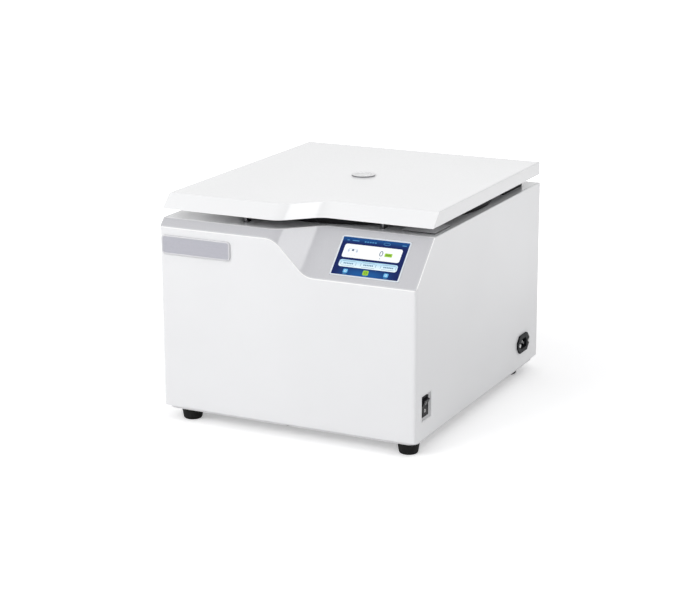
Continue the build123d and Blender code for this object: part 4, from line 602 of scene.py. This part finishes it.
plate_with_rim()
eased_copy("control_bezel_eased", "control_bezel", "cabinet", bezel_plastic, bezel_edge_highlight)
eased_copy("lid_shell_eased", "lid_shell", "lid", lid_paint, lid_edge_highlight)


# ---------------------------------------------------------------- screen page
SCREEN_WIDTH = 107.8 * MM
SCREEN_HEIGHT = 64.9 * MM
GLASS_THICKNESS = 1.5 * MM
PRINT_STEP = 0.05 * MM

# Places on the page, as shares of its width from the left and of its height from the top
TOP_MARKS = ((0.085, 4.0), (0.19, 9.5), (0.235, 3.0), (0.93, 7.0))  # place and width in millimetres
TOP_MARK_ROW = 0.085
TOP_STROKE_ROW = 0.09
TOP_STROKE_FIRST = 0.345
TOP_STROKE_PITCH = 0.038
KEY_COLUMNS = (0.205, 0.505, 0.805)
KEY_ROW = 0.695
KEY_HALF_WIDTH = 12.2 * MM / SCREEN_WIDTH
KEY_HALF_HEIGHT = 3.9 * MM / SCREEN_HEIGHT
KEY_STROKE_PITCH = 2.7 * MM / SCREEN_WIDTH
ICON_COLUMNS = (0.2, 0.81)
ICON_ROW = 0.895
CAPTION_COLUMNS = (0.2, 0.505, 0.81)
CAPTION_ROW = 0.975
START_U, START_V = 0.505, 0.893
TAG_U, TAG_V = 0.745, 0.374
TAG_STROKE_PITCH = 0.018
NOUGHT_U, NOUGHT_V = 0.634, 0.352
ROTOR_U, ROTOR_V = 0.205, 0.31
ROTOR_BUCKET_REACH = 0.062
ROTOR_DOT_REACH = 0.05
ROTOR_DOT_ROW = 0.475

# What a piece of the page is printed on, as a number of print steps over the glass
ON_GROUND, ON_CARD, ON_TAG = 1, 2, 3


def screen_place():
    """Plane of the screen: X right, Y up the slope, Z out of it, on the glass's face."""
    out = Vector((0, -ROOT_HALF, ROOT_HALF))
    up = Vector((0, ROOT_HALF, ROOT_HALF))
    middle = (GLASS_LOW + GLASS_HIGH) / 2 + out * GLASS_THICKNESS / 2
    turn = Matrix((Vector((1, 0, 0)), up, out)).transposed().to_4x4()
    return Matrix.Translation(middle) @ turn


SCREEN = screen_place()


def across(f):
    """-1 at the screen's left edge to 1 at its right."""
    return (f.x - SCREEN.translation.x) * (2 / SCREEN_WIDTH)


def upward(f):
    """-1 at the screen's bottom edge to 1 at its top."""
    lift = (f.y - SCREEN.translation.y) + (f.z - SCREEN.translation.z)
    return lift * (ROOT_HALF * 2 / SCREEN_HEIGHT)


def ground_glow(f):
    """Light along the top bar and in the middle of the bottom bar."""
    top = upward(f).ramp(0.66, 0.95)
    bottom = (0.0 - upward(f)).ramp(0.45, 0.85) * (1.0 - abs(across(f)).ramp(0.2, 1.0))
    return top * 0.55 + bottom * 0.8


def card_glow(f):
    """Light in the middle of the card."""
    return 1.0 - abs(across(f) * 0.6)


def key_glow(f):
    """Light along the lower side of the key strip."""
    return (0.0 - upward(f)).ramp(0.15, 0.6)


def even_glow(f):
    """A faint shimmer."""
    return f.noise(300.0, 1.0)


screen_blue = lit("screen_blue", (0.012, 0.110, 0.350), (0.006, 0.016, 0.105), ground_glow)
screen_card = lit("screen_card", (0.95, 0.97, 0.98), (0.86, 0.93, 0.97), card_glow)
screen_key_bar = lit("screen_key_bar", (0.80, 0.92, 0.97), (0.42, 0.68, 0.86), key_glow)
screen_key_line = lit("screen_key_line", (0.18, 0.33, 0.48), (0.12, 0.26, 0.42), even_glow, 0.5)
screen_mid = lit("screen_mid", (0.09, 0.30, 0.55), (0.06, 0.24, 0.50), even_glow)
screen_sky = lit("screen_sky", (0.16, 0.50, 0.82), (0.10, 0.40, 0.72), even_glow)
screen_green = lit("screen_green", (0.36, 0.62, 0.05), (0.27, 0.53, 0.04), even_glow)
screen_leaf = lit("screen_leaf", (0.16, 0.34, 0.04), (0.12, 0.28, 0.03), even_glow, 0.5)
screen_ink = lit("screen_ink", (0.10, 0.16, 0.24), (0.16, 0.22, 0.32), even_glow, 0.4)
screen_pale = lit("screen_pale", (0.55, 0.62, 0.72), (0.48, 0.56, 0.68), even_glow)


def page(name, material, draw):
    """One printed piece of the page."""
    bm = bmesh.new()
    draw(bm)
    finish_piece(name, bm, material, "cabinet")


def page_point(u, v):
    return (u - 0.5) * SCREEN_WIDTH, (0.5 - v) * SCREEN_HEIGHT


def page_tile(bm, u, v, width, height, radius, layer, segments=4):
    """Tile with its place in shares of the page and its size in millimetres."""
    x, y = page_point(u, v)
    tile(bm, SCREEN, x, y, width * MM, height * MM, radius * MM, PRINT_STEP, layer * PRINT_STEP, segments)


def page_loop(bm, u, v, width, height, band, layer, segments=24):
    """Oval band with its place in shares of the page and its size in millimetres."""
    x, y = page_point(u, v)
    loop_tile(bm, SCREEN, x, y, width * MM, height * MM, band * MM, PRINT_STEP, layer * PRINT_STEP, segments)


def draw_ground(bm):
    tile(bm, SCREEN, 0, 0, SCREEN_WIDTH, SCREEN_HEIGHT, 0.4 * MM, PRINT_STEP)


def draw_top_marks(bm):
    """Unreadable strokes along the top bar, and an oval."""
    for u, width in TOP_MARKS:
        page_tile(bm, u, TOP_MARK_ROW, width, 1.4, 0.3, ON_GROUND)
    for index in range(5):
        u = TOP_STROKE_FIRST + index * TOP_STROKE_PITCH
        page_tile(bm, u, TOP_STROKE_ROW, 3.0, 2.0, 0.5, ON_GROUND)
    page_loop(bm, 0.67, TOP_STROKE_ROW, 11.0, 4.8, 0.6, ON_GROUND)


def draw_card(bm):
    page_tile(bm, 0.4975, 0.3625, 93.5, 23.2, 3.4, ON_GROUND)


def draw_key_bar(bm):
    page_tile(bm, 0.5025, KEY_ROW, 94.5, 12.2, 3.6, ON_GROUND)


def draw_keys(bm):
    """Outlines of three keys with unreadable strokes."""
    for u in KEY_COLUMNS:
        for side in (-1, 1):
            page_tile(bm, u, KEY_ROW + side * KEY_HALF_HEIGHT, 21.0, 0.5, 0, ON_CARD)
            page_tile(bm, u + side * KEY_HALF_WIDTH, KEY_ROW, 0.5, 5.8, 0, ON_CARD)
        for index in range(6):
            stroke_u = u + (index - 2.5) * KEY_STROKE_PITCH
            page_tile(bm, stroke_u, KEY_ROW, 2.0, 2.2, 0.4, ON_CARD, segments=2)


def draw_rotor_icon(bm):
    """A small swing-out rotor seen from the side, with its three dots."""
    page_tile(bm, ROTOR_U, ROTOR_V, 15.0, 0.7, 0.2, ON_CARD)
    for side in (-1, 1):
        page_tile(bm, ROTOR_U + side * ROTOR_BUCKET_REACH, ROTOR_V + 0.05, 2.8, 4.0, 0.8, ON_CARD)
    for side in (-1, 0, 1):
        page_tile(bm, ROTOR_U + side * ROTOR_DOT_REACH, ROTOR_DOT_ROW, 0.9, 0.9, 0.4, ON_CARD)


def draw_rotor_hub(bm):
    page_tile(bm, ROTOR_U, ROTOR_V + 0.03, 3.4, 3.0, 0.8, ON_TAG)


def draw_nought(bm):
    """The reading, nought, and a small ring under it."""
    page_loop(bm, NOUGHT_U, NOUGHT_V, 5.8, 9.2, 1.25, ON_CARD)
    page_loop(bm, NOUGHT_U, 0.485, 1.7, 2.1, 0.5, ON_CARD, segments=12)


def draw_green(bm):
    """The tag beside the reading, and the start key."""
    page_tile(bm, TAG_U, TAG_V, 12.0, 6.0, 1.0, ON_CARD)
    page_tile(bm, START_U, START_V, 9.2, 8.2, 1.8, ON_GROUND)


def draw_green_marks(bm):
    """Unreadable strokes on the tag, and a ring on the start key."""
    for index in range(4):
        u = TAG_U + (index - 1.5) * TAG_STROKE_PITCH
        page_tile(bm, u, TAG_V, 1.3, 2.4, 0.4, ON_TAG)
    page_loop(bm, START_U, START_V, 4.4, 4.4, 0.8, ON_CARD, segments=16)


def draw_sky_icons(bm):
    for u in ICON_COLUMNS:
        page_tile(bm, u, ICON_ROW, 7.4, 6.6, 1.5, ON_GROUND)


def draw_icon_marks(bm):
    for u in ICON_COLUMNS:
        page_loop(bm, u, ICON_ROW, 3.6, 3.6, 0.6, ON_CARD, segments=16)


def draw_captions(bm):
    for u in CAPTION_COLUMNS:
        page_tile(bm, u, CAPTION_ROW, 6.0, 0.9, 0.2, ON_GROUND)


page("screen_ground", screen_blue, draw_ground)
page("screen_top_marks", screen_mid, draw_top_marks)
page("screen_card_panel", screen_card, draw_card)
page("screen_key_strip", screen_key_bar, draw_key_bar)
page("screen_key_outlines", screen_key_line, draw_keys)
page("screen_rotor_icon", screen_pale, draw_rotor_icon)
page("screen_rotor_hub", screen_ink, draw_rotor_hub)
page("screen_nought", screen_ink, draw_nought)
page("screen_green_tags", screen_green, draw_green)
page("screen_green_marks", screen_leaf, draw_green_marks)
page("screen_sky_icons", screen_sky, draw_sky_icons)
page("screen_icon_marks", screen_key_bar, draw_icon_marks)
page("screen_captions", screen_mid, draw_captions)


# ---------------------------------------------------------------- switch marks
ROCKER_TILT = math.radians(9.0)
ROCKER_END = Vector((7.0 * MM, 0, 12.0 * MM))
ROCKER_MIDDLE = Vector((4.2 * MM, 0, 0))
MARK_THICKNESS = 0.08 * MM
MARK_SUNK = -0.02 * MM
ON_WIDTH = 1.0 * MM
ON_HEIGHT = 5.2 * MM
ON_CORNER = 0.2 * MM
OFF_SIZE = 5.0 * MM
OFF_BAND = 0.9 * MM


def rocker_face(half):
    """Place on one half of the rocker's face: X across, Y along it, Z out of it."""
    end = Vector((ROCKER_END.x, 0, half * ROCKER_END.z))
    along = (end - ROCKER_MIDDLE).normalized() * half
    sideways = Vector((0, 1, 0))
    out = sideways.cross(along)
    turn = Matrix((sideways, along, out)).transposed().to_4x4()
    middle = Matrix.Translation((end + ROCKER_MIDDLE) / 2)
    tilt = Matrix.Rotation(ROCKER_TILT, 4, "Y")
    return Matrix.Translation(ROCKER_PIVOT) @ tilt @ middle @ turn


def rocker_marks():
    """A stroke for on, and a ring for off."""
    bm = bmesh.new()
    tile(bm, rocker_face(1), 0, 0, ON_WIDTH, ON_HEIGHT, ON_CORNER, MARK_THICKNESS, MARK_SUNK, segments=2)
    loop_tile(bm, rocker_face(-1), 0, 0, OFF_SIZE, OFF_SIZE, OFF_BAND, MARK_THICKNESS, MARK_SUNK)
    finish_piece("rocker_marks", bm, mark_white, "rocker")


rocker_marks()


# ---------------------------------------------------------------- studio
CAMERA_PLACE = Vector((1.2741, -2.6219, COVER_LOW.z + 0.9377))
CAMERA_YAW = 0.4566157
CAMERA_PITCH = 0.2694577
CAMERA_ROLL = -0.0030145
FOCAL_PIXELS = 1873.73
FRAME_WIDTH_PIXELS = 700.0
SENSOR_WIDTH = 36.0
CLIP_NEAR = 0.05
CLIP_FAR = 100.0
FLOOR_HALF = 30.0

# Square lamps: place, target, side in metres, watts
LAMPS = {
    "key_light": ((-1.3, -2.8, 2.3), (0, 0, 0.2), 1.6, 50.0),
    "top_light": ((0.1, 0.6, 2.6), (0, 0, 0.3), 1.2, 6.0),
    "gloss_light": ((1.29, -0.56, 2.12), (0, -0.2, 0.32), 0.6, 6.5),
}


def make_camera():
    """A long lens, level but for a trace of roll, looking down on the front and the right side."""
    data = bpy.data.cameras.new("studio_camera")
    data.sensor_width = SENSOR_WIDTH
    data.lens = FOCAL_PIXELS / FRAME_WIDTH_PIXELS * SENSOR_WIDTH
    data.clip_start = CLIP_NEAR
    data.clip_end = CLIP_FAR
    camera = bpy.data.objects.new("studio_camera", data)
    bpy.context.scene.collection.objects.link(camera)
    level = Vector((math.cos(CAMERA_YAW), math.sin(CAMERA_YAW), 0))
    forward = Vector((-math.sin(CAMERA_YAW) * math.cos(CAMERA_PITCH),
                      math.cos(CAMERA_YAW) * math.cos(CAMERA_PITCH), -math.sin(CAMERA_PITCH)))
    upright = level.cross(forward)
    right = level * math.cos(CAMERA_ROLL) + upright * math.sin(CAMERA_ROLL)
    up = upright * math.cos(CAMERA_ROLL) - level * math.sin(CAMERA_ROLL)
    turn = Matrix((right, up, -forward)).transposed().to_4x4()
    camera.matrix_world = Matrix.Translation(CAMERA_PLACE) @ turn
    bpy.context.scene.camera = camera


def soft_light(name, place, target, side, power):
    """A square area lamp aimed at a target."""
    data = bpy.data.lights.new(name, "AREA")
    data.shape = "SQUARE"
    data.size = side
    data.energy = power
    lamp = bpy.data.objects.new(name, data)
    bpy.context.scene.collection.objects.link(lamp)
    aim = Vector(target) - Vector(place)
    lamp.matrix_world = Matrix.Translation(place) @ aim.to_track_quat("-Z", "Y").to_matrix().to_4x4()


def make_world():
    """Even room light, with a white backdrop for the eye, mirrors and glass."""
    world = bpy.data.worlds.new("studio")
    bpy.context.scene.world = world
    tree = Tree(world)
    seen, mirrored, through = tree.node("ShaderNodeLightPath", output=SEEN_MIRRORED_THROUGH)
    shown = seen.largest(mirrored).largest(through)
    room = tree.node("ShaderNodeBackground", None, {"Color": WHITE, "Strength": ROOM_LIGHT})
    backdrop = tree.node("ShaderNodeBackground", None, {"Color": WHITE, "Strength": 1.0})
    mix = tree.node("ShaderNodeMixShader", None, {0: shown, 1: room, 2: backdrop})
    tree.node("ShaderNodeOutputWorld", None, {"Surface": mix})


def make_floor():
    """A wide flat sheet at the foot of the machine."""
    bm = bmesh.new()
    bmesh.ops.create_grid(bm, x_segments=2, y_segments=2, size=FLOOR_HALF)
    mesh = bpy.data.meshes.new("studio_floor")
    bm.to_mesh(mesh)
    bm.free()
    mesh.materials.append(floor_finish())
    floor = bpy.data.objects.new("studio_floor", mesh)
    bpy.context.scene.collection.objects.link(floor)


make_floor()
make_world()
make_camera()
for lamp_name, lamp in LAMPS.items():
    soft_light(lamp_name, *lamp)
bpy.context.scene.view_settings.view_transform = "Standard"
